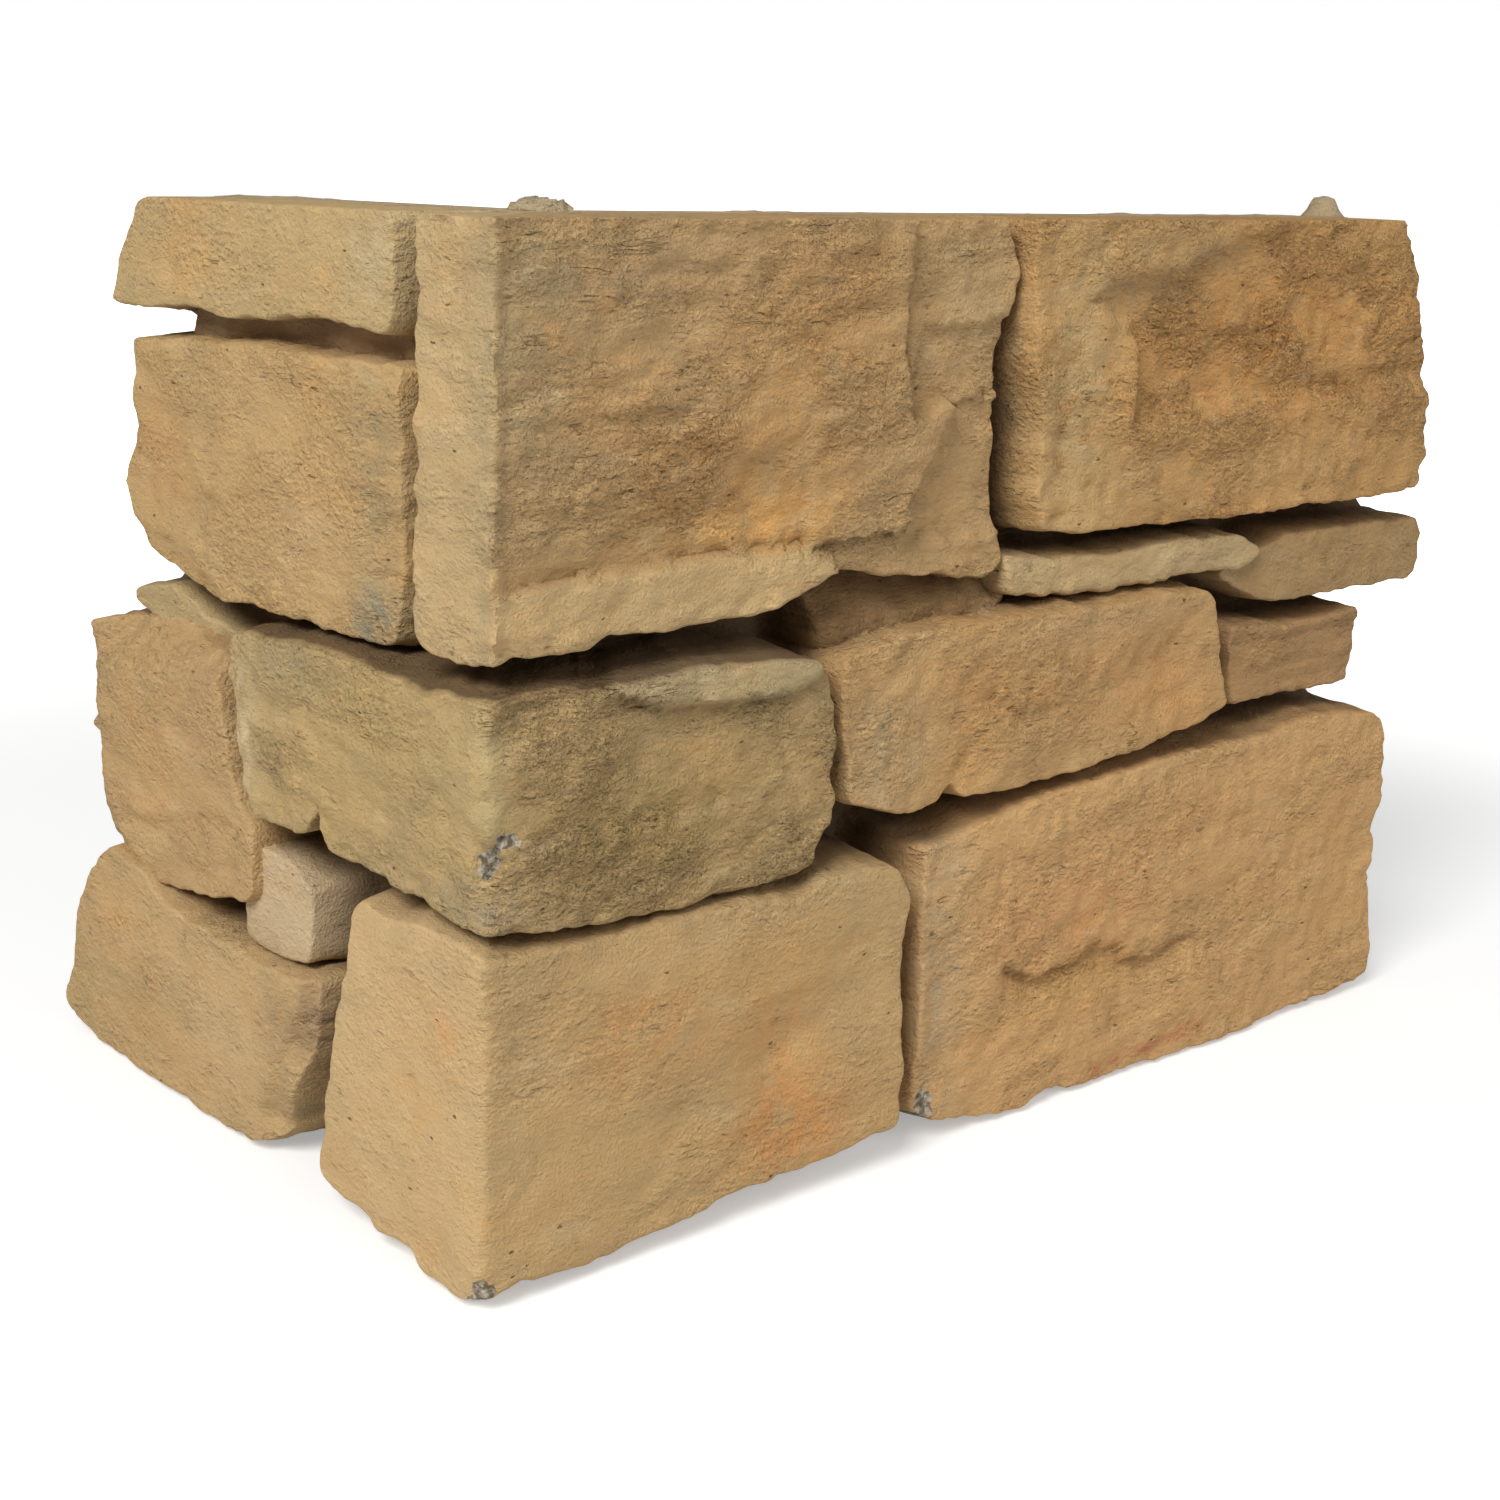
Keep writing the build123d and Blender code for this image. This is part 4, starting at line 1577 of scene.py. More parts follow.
    def long_stones(self) -> list[Stone]:
        """The stones that show only on the long return."""
        top_right_block = Stone(
            "top_right_block", Wing.LONG, 50.0,
            bottom=[
                (180.5, 168), (195, 166.4), (214.5, 166), (232.5, 165.8), (284, 165), (295, 166.4),
                (325, 165.6), (361, 166.7),
            ],
            right=[
                (361, 166.7), (359.3, 179), (361.2, 190), (362.8, 203), (361.5, 209.6), (356.5, 221.5),
                (356.9, 231), (351.6, 238.3), (346, 250.6),
            ],
            top=[(171.6, 250.6), (260, 250.6), (346, 250.6)],
            left=[(180.5, 168), (177, 179.5), (178, 197.7), (173, 216), (171.6, 250.6)],
            reliefs=[
                Spall((
                    (192, 228), (199.7, 234.1), (210.7, 236.3), (230, 236.7), (243, 243.3), (257, 246.3),
                    (275, 250), (300, 270), (400, 270), (400, 196), (286, 195), (212, 193), (212, 215),
                    (203, 222),
                ), drop=4.0, soft=6.5, ragged=1.2),
                Seam((212, 222), (212, 194), 3.0, 1.6),
                Seam((229, 217.7), (285, 217.4), 1.2, -1.3),
                Swell((188, 205), (8, 50), -1.2),
                Ledge(((300, 205), (320, 203), (352, 206)), drop=1.0, soft=1.0, fade=6.0, ragged=1.4),
            ],
            marks=[
                SoftPatch((285, 215), (60, 24), (0.5, 0.25, 0.08), 0.75, 0.5),
                SoftPatch((204, 243), (3, 6), (0.62, 0.33, 0.12), 0.8),
                SoftPatch((250, 210), (34, 10), (0.47, 0.235, 0.075), 0.5),
                SoftPatch((192, 205), (14, 50), (0.475, 0.33, 0.155), 0.7),
                SoftPatch((250, 177), (70, 9), (0.5, 0.32, 0.14), 0.5, -0.5),
                SoftPatch((192, 200), (16, 60), (0.485, 0.33, 0.15), 0.4, -0.9),
                SoftPatch((230, 243), (26, 6), (0.44, 0.3, 0.14), 0.6, -0.7),
                # Painted shade: dark bands just under the scoop's edge, where the face falls away
                SoftPatch((218, 232), (16, 5), (0.33, 0.23, 0.12), 0.6),
                SoftPatch((255, 240), (20, 4), (0.36, 0.25, 0.13), 0.5),
                SoftPatch((335, 195), (10, 12), (0.36, 0.19, 0.07), 0.5),
            ],
            tint=Tint(long=(0.475, 0.28, 0.11), rust=0.45, olive=0.1, grain_long=1.25),
            grain=Grain(waves=1.1, ribs=0.4, scallops=1.0, flakes=0.7, lean=-0.1), seed=21,
        )
        long_sliver = Stone(
            "long_sliver", Wing.LONG, 46.0,
            bottom=[(168, 152), (171, 150.5), (185, 148.7), (214, 147.6), (248, 148.9), (272, 148.5)],
            right=[(272, 148.5), (280, 151), (281.5, 153), (278, 155.5)],
            top=[(166, 161.5), (184, 159.5), (210, 158.2), (244, 159.8), (268, 158.7), (278, 155.5)],
            left=[(168, 152), (166, 161.5)],
            tint=Tint(long=(0.5, 0.36, 0.185), rust=0.0, grain_long=0.7), arris=1.4, seed=22,
        )
        thin_end_block = Stone(
            "thin_end_block", Wing.LONG, 46.0,
            bottom=[(261.6, 147), (274, 140.9), (283, 137.2), (301, 136.2), (334, 136.7), (362.6, 136.4)],
            right=[(362.6, 136.4), (365.6, 139), (365.4, 156.1)],
            top=[(264, 152), (286, 154), (294.3, 157), (330, 156.6), (365.4, 156.1)],
            left=[(261.6, 147), (264, 152)],
            reliefs=[Swell((276, 146), (14, 9), -3.0)],
            # Painted shadow: a dark patch in the hollow at the left end, under the stone above
            marks=[SoftPatch((272, 146), (18, 10), (0.3, 0.2, 0.1), 0.6)],
            tint=Tint(long=(0.37, 0.24, 0.108), rust=0.0, olive=0.1, grain_long=0.6), seed=23,
        )
        middle_block = Stone(
            "middle_block", Wing.LONG, 52.0,
            bottom=[
                (113, 103.5), (134.4, 98), (142.6, 97.9), (146, 99), (151.5, 104.5), (153.5, 99),
                (164, 98.5), (192.7, 98.7), (222, 101), (241.4, 103.3), (259.4, 105.6), (267.6, 109),
            ],
            right=[(267.6, 109), (264, 122), (261.3, 138), (256.6, 145)],
            top=[
                (107, 141.5), (131, 146), (155, 146.5), (181, 145.8), (210, 145.6), (236, 146), (256.6, 145),
            ],
            left=[(113, 103.5), (109.3, 123.4), (107, 141.5)],
            reliefs=[
                Ledge((
                    (159, 128), (170.7, 124), (175.6, 120), (190, 119.3),
                ), drop=2.2, soft=0.6, fade=4.5, ragged=0.8, ends=4.0),
                Ledge((
                    (220, 131), (231.6, 129), (234.8, 131.6), (244, 134),
                ), drop=2.2, soft=0.6, fade=4.0, ragged=0.8, ends=4.0),
                Seam((152, 104), (158, 112), 3.0, -1.2),
                Swell((245, 118), (16, 14), -1.6),
                Swell((185, 108), (22, 8), 0.9),
                Seam((166, 100), (190, 128), 5.0, 0.9),
            ],
            marks=[
                SoftPatch((225, 122), (36, 16), (0.52, 0.28, 0.115), 0.6),
                SoftPatch((170, 128), (50, 10), (0.47, 0.265, 0.11), 0.5),
                SoftPatch((125, 115), (14, 24), (0.47, 0.33, 0.17), 0.7),
                SoftPatch((200, 141), (50, 4), (0.5, 0.33, 0.16), 0.5),
            ],
            tint=Tint(long=(0.48, 0.3, 0.13), rust=0.4, olive=0.05, grain_long=0.9),
            grain=Grain(waves=1.1, ribs=0.3, scallops=0.9, flakes=0.5, lean=0.3), seed=24,
        )
        joint_web = Stone(
            "joint_web", Wing.LONG, 42.0,
            bottom=[(98, 142), (130, 143), (166, 145)],
            right=[(166, 145), (172, 156), (172, 166)],
            top=[(100, 166), (140, 166), (172, 166)],
            left=[(98, 142), (100, 166)],
            reliefs=[Spall(((60, 149), (220, 149), (220, 240), (60, 240)), drop=0.5, soft=2.0, slope=0.9)],
            tint=Tint(long=(0.225, 0.135, 0.06), rust=0.0, olive=0.0, grain_long=0.8), arris=2.0,
            grain=Grain(waves=1.0, ribs=0.8, scallops=0.8, flakes=0.4), seed=27,
        )
        small_end_block = Stone(
            "small_end_block", Wing.LONG, 46.0,
            bottom=[(271, 107), (280.4, 106.5), (296, 107), (312, 105.8), (333, 105.9)],
            right=[(333, 105.9), (335.1, 116.8), (336.4, 128.3)],
            top=[(268.6, 131), (293, 129), (315, 129), (336.4, 130)],
            left=[(271, 107), (268.6, 131)],
            reliefs=[
                Ledge((
                    (268, 127), (298.6, 125.8), (340, 127),
                ), drop=1.8, soft=0.7, fade=3.5, ragged=0.5, ends=4.0),
                Ledge((
                    (270, 117.5), (300, 116.5), (340, 115.8),
                ), drop=1.6, soft=0.7, fade=3.0, ragged=0.9, ends=8.0),
                Ledge((
                    (284, 112), (310, 112.6), (340, 111),
                ), drop=1.4, soft=0.7, fade=3.0, ragged=0.8, ends=8.0),
            ],
            tint=Tint(long=(0.37, 0.222, 0.1), rust=0.1, olive=0.0, grain_long=0.9),
            grain=Grain(waves=0.7, ribs=0.7, scallops=0.3, flakes=0.2), seed=25,
        )
        bed_block = Stone(
            "bed_block", Wing.LONG, 52.0,
            bottom=[
                (142, 11.7), (152, 6.9), (179, 1.6), (189, 1.5), (195, 4.4), (212.7, 1), (232, 1.2),
                (259.5, 1), (296, 1.2), (328, 1.7), (357.6, 5),
            ],
            right=[
                (357.6, 5), (358, 20), (353.6, 45), (355.6, 53.5), (351.4, 58), (355, 63.5), (354.2, 78),
                (353, 91.4),
            ],
            top=[
                (140.4, 87.6), (149, 87), (162, 90.7), (200, 94.7), (247, 96.7), (289, 96.7), (313, 99),
                (346, 96), (353, 91.4),
            ],
            left=[(142, 11.7), (142.4, 34), (141.3, 64.6), (140.4, 87.6)],
            reliefs=[
                Ledge((
                    (172, 49), (181, 43.5), (189.6, 40.2), (198.9, 42.6), (207, 41.6), (211.2, 45.4),
                    (225.8, 42.4), (228, 38), (236.8, 35.2), (247.2, 36.4), (262, 40),
                ), drop=3.4, soft=0.7, fade=9.0, ragged=0.9, ends=7.0),
                Ledge(((236, 52), (262, 49), (290, 51)), drop=1.0, fade=5.0, ragged=1.4),
                Ledge((
                    (180, 79.7), (192.5, 79.6), (211.5, 81), (250, 79.6),
                ), drop=0.6, soft=0.6, fade=3.0, ragged=0.5),
                Ledge(((255, 52), (290, 56), (330, 54)), drop=0.8, soft=1.2, fade=6.0, ragged=1.6),
                Swell((340, 50), (14, 30), -1.5),
                Chip((148, 12.5), (4, 4.5), 1.6),
                Swell((150, 50), (9, 60), -0.8),
            ],
            marks=[
                SoftPatch((205, 56), (34, 16), (0.57, 0.3, 0.125), 0.7),
                # Painted shadow: a dark band and line just under the broken ledge
                SoftPatch((212, 39), (34, 3), (0.42, 0.22, 0.09), 0.7, 0.4),
                ShadeLine((
                    (174, 47), (181, 42.3), (189.6, 39), (198.9, 41.2), (207, 40.4), (211.2, 44),
                    (225.8, 41.2), (228, 36.8), (236.8, 34), (247.2, 35), (260, 38.5),
                ), 1.3, (0.24, 0.125, 0.05), 0.6),
                SoftPatch((262, 76), (34, 8), (0.56, 0.31, 0.13), 0.5),
                SoftPatch((205, 34), (40, 9), (0.57, 0.345, 0.13), 0.6),
                SoftPatch((330, 58), (9, 14), (0.53, 0.29, 0.12), 0.6),
                SoftPatch((218, 4.5), (5, 2), (0.42, 0.15, 0.07), 0.8),
                SoftPatch((230, 5.5), (6, 1.6), (0.42, 0.14, 0.07), 0.8),
                SoftPatch((244, 6.5), (8, 1.4), (0.4, 0.13, 0.065), 0.8),
                SoftPatch((261, 8), (7, 2.2), (0.46, 0.18, 0.09), 0.6),
                SoftPatch((150, 50), (10, 60), (0.46, 0.335, 0.185), 0.6),
            ],
            tint=Tint(long=(0.565, 0.34, 0.147), rust=0.25, olive=0.0, grain_long=0.9),
            grain=Grain(waves=1.1, ribs=0.4, scallops=0.8, flakes=0.6, lean=0.02), shaded_top=0.35, seed=26,
        )
        return [
            top_right_block, long_sliver, thin_end_block, middle_block, joint_web, small_end_block,
            bed_block,
        ]

    def short_stones(self) -> list[Stone]:
        """The stones that show only on the short return."""
        thin_top_slab = Stone(
            "thin_top_slab", Wing.SHORT, 46.0,
            bottom=[
                (-184.4, 220.4), (-157.5, 221), (-145, 222.5), (-130.7, 222), (-120, 220.5), (-105, 221.5),
                (-75, 223.8), (-44.5, 221.5),
            ],
            right=[(-44.5, 221.5), (-42, 232), (-42, 250.6)],
            top=[(-167, 249), (-160, 250.6), (-42, 250.6)],
            left=[(-184.4, 220.4), (-178.4, 235), (-172, 241.2), (-167, 249)],
            marks=[
                SoftPatch((-138, 234), (16, 9), (0.6, 0.37, 0.15), 0.6),
                SoftPatch((-49, 238), (12, 13), (0.5, 0.39, 0.22), 0.7),
                SoftPatch((-176, 230), (9, 9), (0.46, 0.34, 0.16), 0.6),
                SoftPatch((-85, 236), (20, 12), (0.52, 0.355, 0.165), 0.5),
            ],
            tint=Tint(short=(0.485, 0.34, 0.16), rust=0.1, olive=0.1, grain_short=0.8),
            grain=Grain(waves=0.7, ribs=0.3, scallops=0.5, flakes=0.3), seed=31,
        )
        slab_web = Stone(
            "slab_web", Wing.SHORT, 36.0,
            bottom=[(-145, 212), (-100, 212), (-38, 213)],
            right=[(-38, 213), (-38, 226)],
            top=[(-145, 225), (-100, 225), (-38, 226)],
            left=[(-145, 212), (-145, 225)],
            tint=Tint(short=(0.3, 0.19, 0.1), rust=0.0, olive=0.0), arris=2.0,
            grain=Grain(waves=1.0, ribs=1.2, scallops=0.8, flakes=0.4), seed=37,
        )
        upper_block = Stone(
            "upper_block", Wing.SHORT, 46.0,
            bottom=[(-137, 145.5), (-101, 147.7), (-59.4, 148), (-44, 149)],
            right=[(-44, 149), (-40, 168), (-40, 215)],
            top=[(-174, 212), (-126, 214.3), (-91, 215), (-40, 215)],
            left=[
                (-137, 145.5), (-147.4, 148), (-169, 152.7), (-172.5, 162), (-180, 171), (-177.7, 176.5),
                (-170.2, 188), (-173.4, 194.7), (-169.8, 203), (-174, 212),
            ],
            reliefs=[
                Spall((
                    (-210, 170), (-173, 163), (-153.5, 160.9), (-137.5, 155.4), (-125, 148.8), (-118, 130),
                    (-210, 130),
                ), drop=0.4, soft=2.0, slope=0.38),
                Spall((
                    (-51, 230), (-49, 212.6), (-53.8, 187.9), (-58, 159.7), (-60, 130), (-20, 130),
                    (-20, 230),
                ), drop=0.7, soft=1.0, slope=0.1, ragged=0.8),
                Seam((-48, 178), (-36, 180), 1.0, -1.3),
                Seam((-50, 174), (-40, 176), 0.9, -0.9),
                Seam((-50, 196), (-38, 197), 0.9, -0.9),
                Seam((-50, 164.5), (-42, 165.5), 0.9, -0.9),
                Seam((-52, 206), (-44, 208), 0.9, -0.7),
                Ledge((
                    (-76, 198.5), (-68, 199.5), (-54, 198.4),
                ), drop=0.7, soft=0.6, fade=3.0, ragged=0.6, ends=4.0),
                Seam((-145, 169), (-94, 174), 4.0, -1.3),
                Swell((-155, 180), (11, 12), -1.2),
                Swell((-120, 190), (30, 18), 0.9),
            ],
            marks=[
                SoftPatch((-157, 183), (12, 14), (0.52, 0.29, 0.12), 0.7),
                SoftPatch((-151, 173), (10, 5), (0.42, 0.26, 0.12), 0.5),
                SoftPatch((-49, 190), (8, 34), (0.36, 0.265, 0.135), 0.75),
                SoftPatch((-52, 154), (9, 9), (0.3, 0.26, 0.165), 0.8),
                SoftPatch((-80, 170), (20, 20), (0.57, 0.385, 0.19), 0.5),
                SoftPatch((-130, 155), (20, 7), (0.55, 0.38, 0.18), 0.5),
                SoftPatch((-118, 200), (24, 10), (0.5, 0.34, 0.16), 0.5),
            ],
            tint=Tint(short=(0.49, 0.32, 0.142), rust=0.2, olive=0.15, grain_short=0.85),
            grain=Grain(waves=0.9, ribs=0.4, scallops=0.7, flakes=0.45, lean=-0.05), seed=32,
        )
        left_sliver = Stone(
            "left_sliver", Wing.SHORT, 38.0,
            bottom=[(-183.7, 134.4), (-167, 130), (-151.6, 129), (-137.8, 126), (-100, 122)],
            right=[(-100, 122), (-100, 134)],
            top=[(-183.4, 139), (-160, 143.5), (-150, 141), (-137, 136), (-100, 134)],
            left=[(-183.7, 134.4), (-183.4, 139)],
            reliefs=[Spall(((-138, 150), (-138, 120), (-90, 120), (-90, 150)), drop=1.6)],
            tint=Tint(short=(0.46, 0.34, 0.17), rust=0.0, olive=0.1), arris=1.2, ragged=0.5, seed=33,
        )
        middle_left_block = Stone(
            "middle_left_block", Wing.SHORT, 50.0,
            bottom=[(-195, 63.9), (-180, 61.3), (-166, 59.4), (-134, 64), (-108, 69)],
            right=[(-108, 69), (-107, 89), (-116, 97), (-120, 110), (-128, 131)],
            top=[(-207.7, 127.7), (-200, 130), (-171, 135), (-128, 131)],
            left=[
                (-195, 63.9), (-200, 66.7), (-203.3, 75.4), (-204, 91.4), (-211.8, 95), (-206.3, 113),
                (-209.9, 118), (-210.7, 125), (-207.7, 127.7),
            ],
            reliefs=[
                Ledge((
                    (-188, 75.5), (-184.8, 75.8), (-159.3, 79.8), (-133, 88), (-112.7, 88),
                ), drop=1.8, soft=0.9, fade=9.0, ragged=0.8),
                Ledge(((-152, 69), (-135, 72.5), (-113, 79)), drop=1.0, fade=5.0, ragged=0.6),
                Spall((
                    (-220, 140), (-195.7, 125), (-197.3, 100.7), (-194.1, 79.1), (-185.2, 70.1),
                    (-176.3, 62.3), (-170, 50), (-220, 50),
                ), drop=0.4, soft=2.0, slope=0.45),
                Spall((
                    (-198, 117), (-180, 120), (-160, 122), (-129, 126), (-110, 124), (-110, 150),
                    (-220, 150),
                ), drop=0.6, slope=1.0, ragged=1.0),
                Swell((-135, 105), (12, 20), 1.0),
            ],
            marks=[
                SoftPatch((-160, 100), (18, 14), (0.55, 0.335, 0.145), 0.6),
                SoftPatch((-163, 82), (22, 6), (0.56, 0.335, 0.15), 0.6),
                SoftPatch((-170, 70), (20, 7), (0.58, 0.4, 0.19), 0.5),
                SoftPatch((-205, 100), (9, 30), (0.42, 0.305, 0.155), 0.6),
            ],
            tint=Tint(short=(0.475, 0.31, 0.145), rust=0.2, olive=0.05, grain_short=0.8),
            grain=Grain(waves=0.9, ribs=0.3, scallops=0.6, flakes=0.35), seed=34,
        )
        wedge = Stone(
            "wedge", Wing.SHORT, 47.0,
            bottom=[(-115, 56.5), (-111, 55.4), (-97, 55.6), (-81, 58.3)],
            right=[(-81, 58.3), (-79.5, 70), (-79, 80)],
            top=[(-110, 84), (-94, 83.6), (-79, 80)],
            left=[(-115, 56.5), (-115.3, 62.3), (-110, 84)],
            tint=Tint(short=(0.56, 0.42, 0.25), rust=0.0, olive=0.0), arris=1.0, ragged=0.5,
            grain=Grain(waves=0.5, ribs=0.2, scallops=0.3, flakes=0.2), seed=35,
        )
        bed_block_short = Stone(
            "bed_block_short", Wing.SHORT, 53.0,
            bottom=[
                (-223, 6.3), (-209.3, 1.8), (-193.8, 1), (-152.5, 1.5), (-130, 1.4), (-109, 2.4), (-95, 9),
            ],
            right=[(-95, 9), (-84, 34), (-79, 56)],
            top=[
                (-200, 57.4), (-191.6, 65), (-172.7, 62.3), (-160.8, 58), (-140.8, 56), (-121.7, 55),
                (-102.8, 55), (-79, 56),
            ],
            left=[(-223, 6.3), (-223.5, 8.8), (-219.6, 19.4), (-216.6, 30), (-211.4, 43.5), (-200, 57.4)],
            reliefs=[
                Spall((
                    (-80, 62), (-89, 40), (-96.9, 30), (-99, 22), (-104, 12), (-104, -10), (-60, -10),
                    (-60, 62),
                ), drop=2.4, soft=1.4, slope=0.25, ragged=1.6),
                Spall((
                    (-84, 80), (-92, 49), (-100, 33), (-96, 32), (-84, 36), (-72, 36), (-60, 60),
                ), drop=1.2, soft=1.0, ragged=1.2),
                Swell((-91, 23), (7, 9), 3.4),
                Ledge(((-110, 15), (-98, 14), (-84, 16)), drop=1.6, fade=5.0, ragged=0.8, ends=3.0),
                Swell((-195, 12), (24, 10), -0.8),
            ],
            marks=[
                SoftPatch((-186, 43), (20, 10), (0.55, 0.335, 0.145), 0.6),
                SoftPatch((-167, 18), (22, 10), (0.54, 0.34, 0.15), 0.5),
                SoftPatch((-95, 42), (8, 14), (0.36, 0.26, 0.14), 0.7),
                # Painted shade: a dark patch in the recessed hollow on the right
                SoftPatch((-82, 44), (6, 9), (0.28, 0.19, 0.11), 0.8, 0.8),
                SoftPatch((-86, 15), (9, 6), (0.3, 0.21, 0.12), 0.6, 0.8),
                SoftPatch((-125, 30), (20, 18), (0.58, 0.41, 0.22), 0.5),
                SoftPatch((-212, 20), (9, 18), (0.45, 0.32, 0.15), 0.6),
            ],
            tint=Tint(short=(0.515, 0.348, 0.167), rust=0.2, olive=0.1, grain_short=0.8),
            grain=Grain(waves=1.0, ribs=0.2, scallops=0.45, flakes=0.2), seed=36,
        )
        return [thin_top_slab, slab_web, upper_block, left_sliver, middle_left_block, wedge, bed_block_short]

    def nubs(self) -> list[Nub]:
        """The peg and the lump on the top."""
        peg_at = self.casting.long_reach - 10
        return [
            Nub(
                "peg", (peg_at, -10.0),
                ((7.0, -3), (6.8, 0), (5.0, 2.0), (4.0, 4.5), (3.2, 5.6), (1.2, 6.0)),
            ),
            Nub(
                "lump", (-8.0, -8.0),
                ((6.8, -3), (6.8, 0), (5.4, 1.6), (3.4, 2.6), (1.0, 2.8)),
                stretch=1.25, roughness=1.6, seed=6,
            ),
        ]

    def joined(self, pieces: list[bpy.types.Object], name: str) -> bpy.types.Object:
        """The pieces as one closed body, by a union of solids.

        Args:
            pieces: closed meshes; they are used up.
            name: the joined body's name.

        Returns:
            The joined body.
        """
        first, rest = pieces[0], pieces[1:]
        holder = bpy.data.collections.new("to_join")
        bpy.context.scene.collection.children.link(holder)
        for piece in rest:
            bpy.context.scene.collection.objects.unlink(piece)
            holder.objects.link(piece)
        union = first.modifiers.new("union", "BOOLEAN")
        union.operation = "UNION"
        union.operand_type = "COLLECTION"
        union.collection = holder
        union.solver = "MANIFOLD"
        graph = bpy.context.evaluated_depsgraph_get()
        mesh = bpy.data.meshes.new_from_object(first.evaluated_get(graph))
        body = bpy.data.objects.new(name, mesh)
        body.data.name = name
        bpy.context.scene.collection.objects.link(body)
        for piece in pieces:
            bpy.data.objects.remove(piece)
        bpy.data.collections.remove(holder)
        return body

    def healed(self, body: bpy.types.Object) -> None:
        """Gives the points where pieces meet, which come out blank, the mean of their neighbours."""
        edges = np.zeros(len(body.data.edges) * 2, np.int32)
        body.data.edges.foreach_get("vertices", edges)
        a, b = edges.reshape(-1, 2).T
        tint = get_colours(body, "tint")
        held = np.column_stack([tint[:, :3]] + [get_values(body, name) for name in LEVELS])
        known = get_values(body, "known") > self.SURE
        for _ in range(self.HEAL_ROUNDS):
            total = np.zeros_like(held)
            count = np.zeros(len(held))
            for source, target in ((a, b), (b, a)):
                good = known[source]
                np.add.at(total, target[good], held[source[good]])
                np.add.at(count, target[good], 1)
            fresh = ~known & (count > 0)
            held[fresh] = total[fresh] / count[fresh, None]
            known = known | fresh
        set_colour(body, "tint", held[:, :3])
        for place, name in enumerate(LEVELS):
            set_value(body, name, held[:, 3 + place])

    def build(self) -> bpy.types.Object:
        """The casting, finished."""
        stones = [*self.corner_stones(), *self.long_stones(), *self.short_stones()]
        pieces = [part.build() for part in [Backing(self.casting), *stones, *self.nubs()]]
        for piece in pieces:
            log.info("%s: %d points", piece.name, len(piece.data.vertices))
        body = self.joined(pieces, "corner_piece_cast")
        self.healed(body)
        body.data.materials.clear()
        body.data.materials.append(self.finish.build())
        body.data.polygons.foreach_set("use_smooth", np.ones(len(body.data.polygons), bool))
        body.data.set_sharp_from_angle(angle=math.radians(self.sharp_from))
        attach(body, "root")
        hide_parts(NODE)
        body.data.calc_loop_triangles()
        points, triangles = len(body.data.vertices), len(body.data.loop_triangles)
        log.info("%s: %d points, %d triangles", body.name, points, triangles)
        return body


# Studio

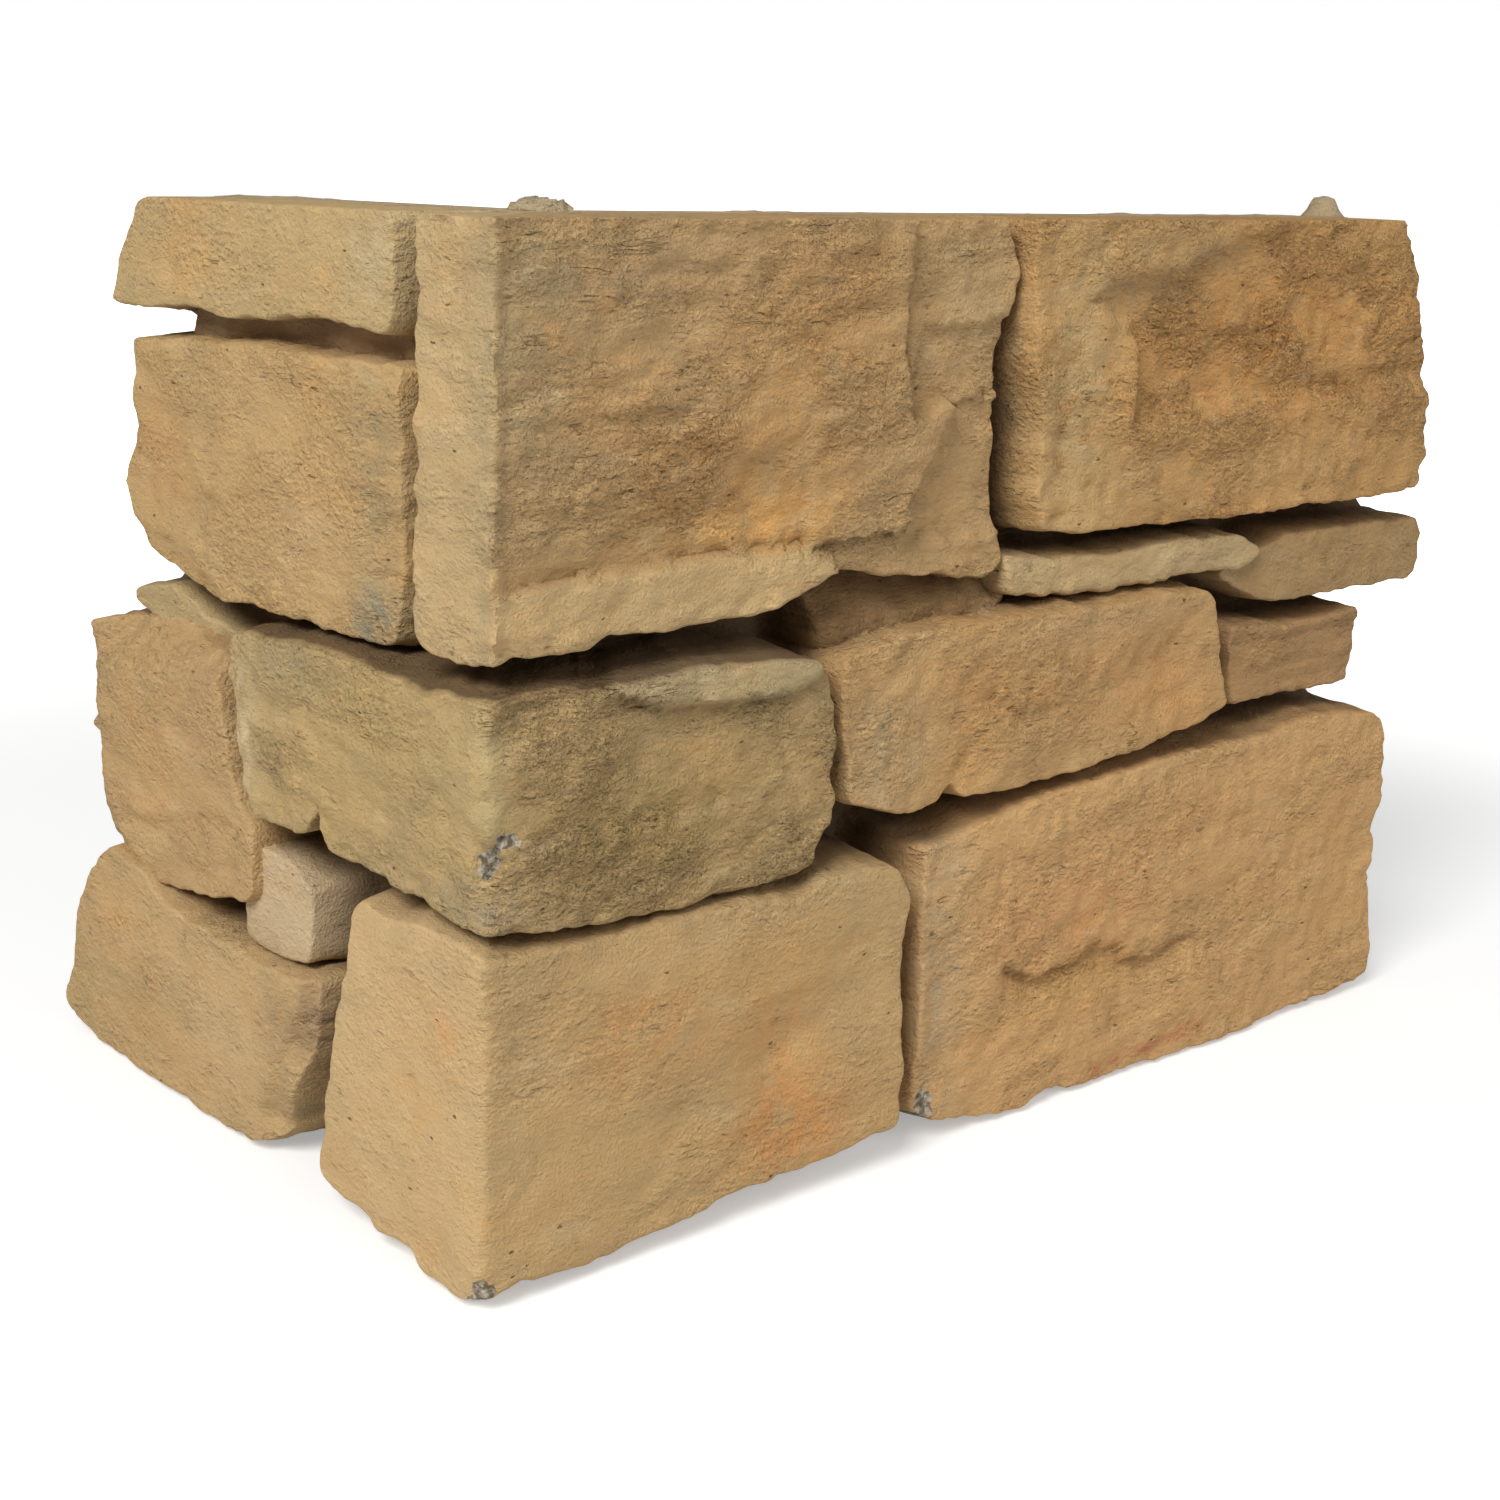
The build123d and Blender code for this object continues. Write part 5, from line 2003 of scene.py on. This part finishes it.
@dataclass(frozen=True)
class Studio:
    """The floor, the lamps and the camera."""

    lens: float = 53.17
    sensor: float = 36.0
    shift: Pair = (0.0667, -0.04)
    camera_at: Triple = (-0.32355, -0.43669, 0.26129)
    yaw: float = 39.5
    pitch: float = 13.353
    roll: float = -1.359
    floor_colour: Colour = (0.82, 0.82, 0.81)
    floor_glow: float = 0.35
    floor_reach: float = 12.0
    floor_steps: int = 8
    glow_near: float = 0.4
    glow_far: float = 1.3
    key_at: Triple = (-1.45, -0.72, 1.5)
    key_size: float = 0.9
    key_power: float = 42.0
    fill_at: Triple = (0.7, -1.9, 1.0)
    fill_size: float = 1.4
    fill_power: float = 10.8
    world_level: float = 0.27
    nearest_seen: float = 0.01

    def floor(self) -> None:
        """A wide pale floor that takes the object's shadow and turns white further off."""
        steps = np.linspace(-self.floor_reach, self.floor_reach, self.floor_steps + 1) / METRES_PER_MM
        x, y = np.meshgrid(steps, steps)
        points = stacked(x, y, 0.0).reshape(-1, 3)
        floor = mesh_object("floor", points, grid_quads(self.floor_steps, self.floor_steps))
        tree = Tree("pale floor")
        seen = tree.value(tree.add("ShaderNodeLightPath"), "Is Camera Ray")
        place = tree.value(tree.add("ShaderNodeTexCoord"), "Object")
        far = tree.value(tree.add("ShaderNodeVectorMath", {"operation": "LENGTH"}, i0=place), "Value")
        diffuse = tree.add("ShaderNodeBsdfDiffuse", None, Color=(*self.floor_colour, 1.0))
        glow_level = self.floor_glow + far.ramp(self.glow_near, self.glow_far)
        glow = tree.add("ShaderNodeEmission", None, Strength=seen * glow_level)
        both = tree.add("ShaderNodeAddShader")
        out = tree.add("ShaderNodeOutputMaterial")
        tree.links.new(diffuse.outputs[0], both.inputs[0])
        tree.links.new(glow.outputs[0], both.inputs[1])
        tree.links.new(both.outputs[0], out.inputs[0])
        floor.data.materials.append(tree.material)

    def lamp(self, name: str, at: Triple, aim: Triple, size: float, power: float) -> None:
        """A square soft lamp.

        Args:
            name: the lamp's name.
            at: where it hangs, in metres.
            aim: the point that it faces.
            size: its side, in metres.
            power: its power, in watts.
        """
        light = bpy.data.lights.new(name, "AREA")
        light.shape = "SQUARE"
        light.size = size
        light.energy = power
        lamp = bpy.data.objects.new(name, light)
        way = np.array(aim) - np.array(at)
        way /= np.linalg.norm(way)
        lamp.location = at
        lamp.rotation_euler = (math.acos(-way[2]), 0.0, math.atan2(way[1], way[0]) - math.pi / 2)
        bpy.context.scene.collection.objects.link(lamp)

    def lights(self) -> None:
        """A key lamp on the left, a weaker and wider one on the right, and an even white surround."""
        self.lamp("key", self.key_at, (0.05, 0.0, 0.1), self.key_size, self.key_power)
        self.lamp("fill", self.fill_at, (0.1, 0.0, 0.1), self.fill_size, self.fill_power)
        world = bpy.data.worlds.new("surround")
        world.use_nodes = True
        nodes = world.node_tree.nodes
        background = nodes["Background"]
        background.inputs["Color"].default_value = (1.0, 1.0, 1.0, 1.0)
        seen = nodes.new("ShaderNodeLightPath")
        level = nodes.new("ShaderNodeMapRange")
        level.inputs["To Min"].default_value = self.world_level
        level.inputs["To Max"].default_value = 1.0
        world.node_tree.links.new(seen.outputs["Is Camera Ray"], level.inputs["Value"])
        world.node_tree.links.new(level.outputs[0], background.inputs["Strength"])
        bpy.context.scene.world = world

    def camera(self) -> None:
        """The camera, turned by its yaw from +Y towards +X, pitched down and rolled."""
        yaw, pitch, roll = (math.radians(angle) for angle in (self.yaw, self.pitch, self.roll))
        ahead_flat = np.array([math.sin(yaw), math.cos(yaw), 0.0])
        right = np.array([math.cos(yaw), -math.sin(yaw), 0.0])
        up = np.array([0.0, 0.0, 1.0])
        ahead = math.cos(pitch) * ahead_flat - math.sin(pitch) * up
        down = -(math.sin(pitch) * ahead_flat + math.cos(pitch) * up)
        image_right = math.cos(roll) * right + math.sin(roll) * down
        image_down = -math.sin(roll) * right + math.cos(roll) * down
        data = bpy.data.cameras.new("camera")
        data.lens = self.lens
        data.sensor_width = self.sensor
        data.shift_x, data.shift_y = self.shift
        data.clip_start = self.nearest_seen
        camera = bpy.data.objects.new("camera", data)
        turn = np.eye(4)
        turn[:3, 0] = image_right
        turn[:3, 1] = -image_down
        turn[:3, 2] = -ahead
        turn[:3, 3] = self.camera_at
        camera.matrix_world = Matrix(turn.tolist())
        bpy.context.scene.collection.objects.link(camera)
        bpy.context.scene.camera = camera

    def build(self) -> None:
        """Sets up the floor, the lamps and the camera."""
        self.floor()
        self.lights()
        self.camera()
        bpy.context.scene.view_settings.view_transform = "Standard"


def main() -> None:
    """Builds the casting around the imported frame."""
    logging.basicConfig(level=logging.INFO, format="%(name)s: %(message)s")
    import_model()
    CornerPiece().build()
    Studio().build()
    bpy.context.view_layer.update()


if __name__ == "__main__":
    main()
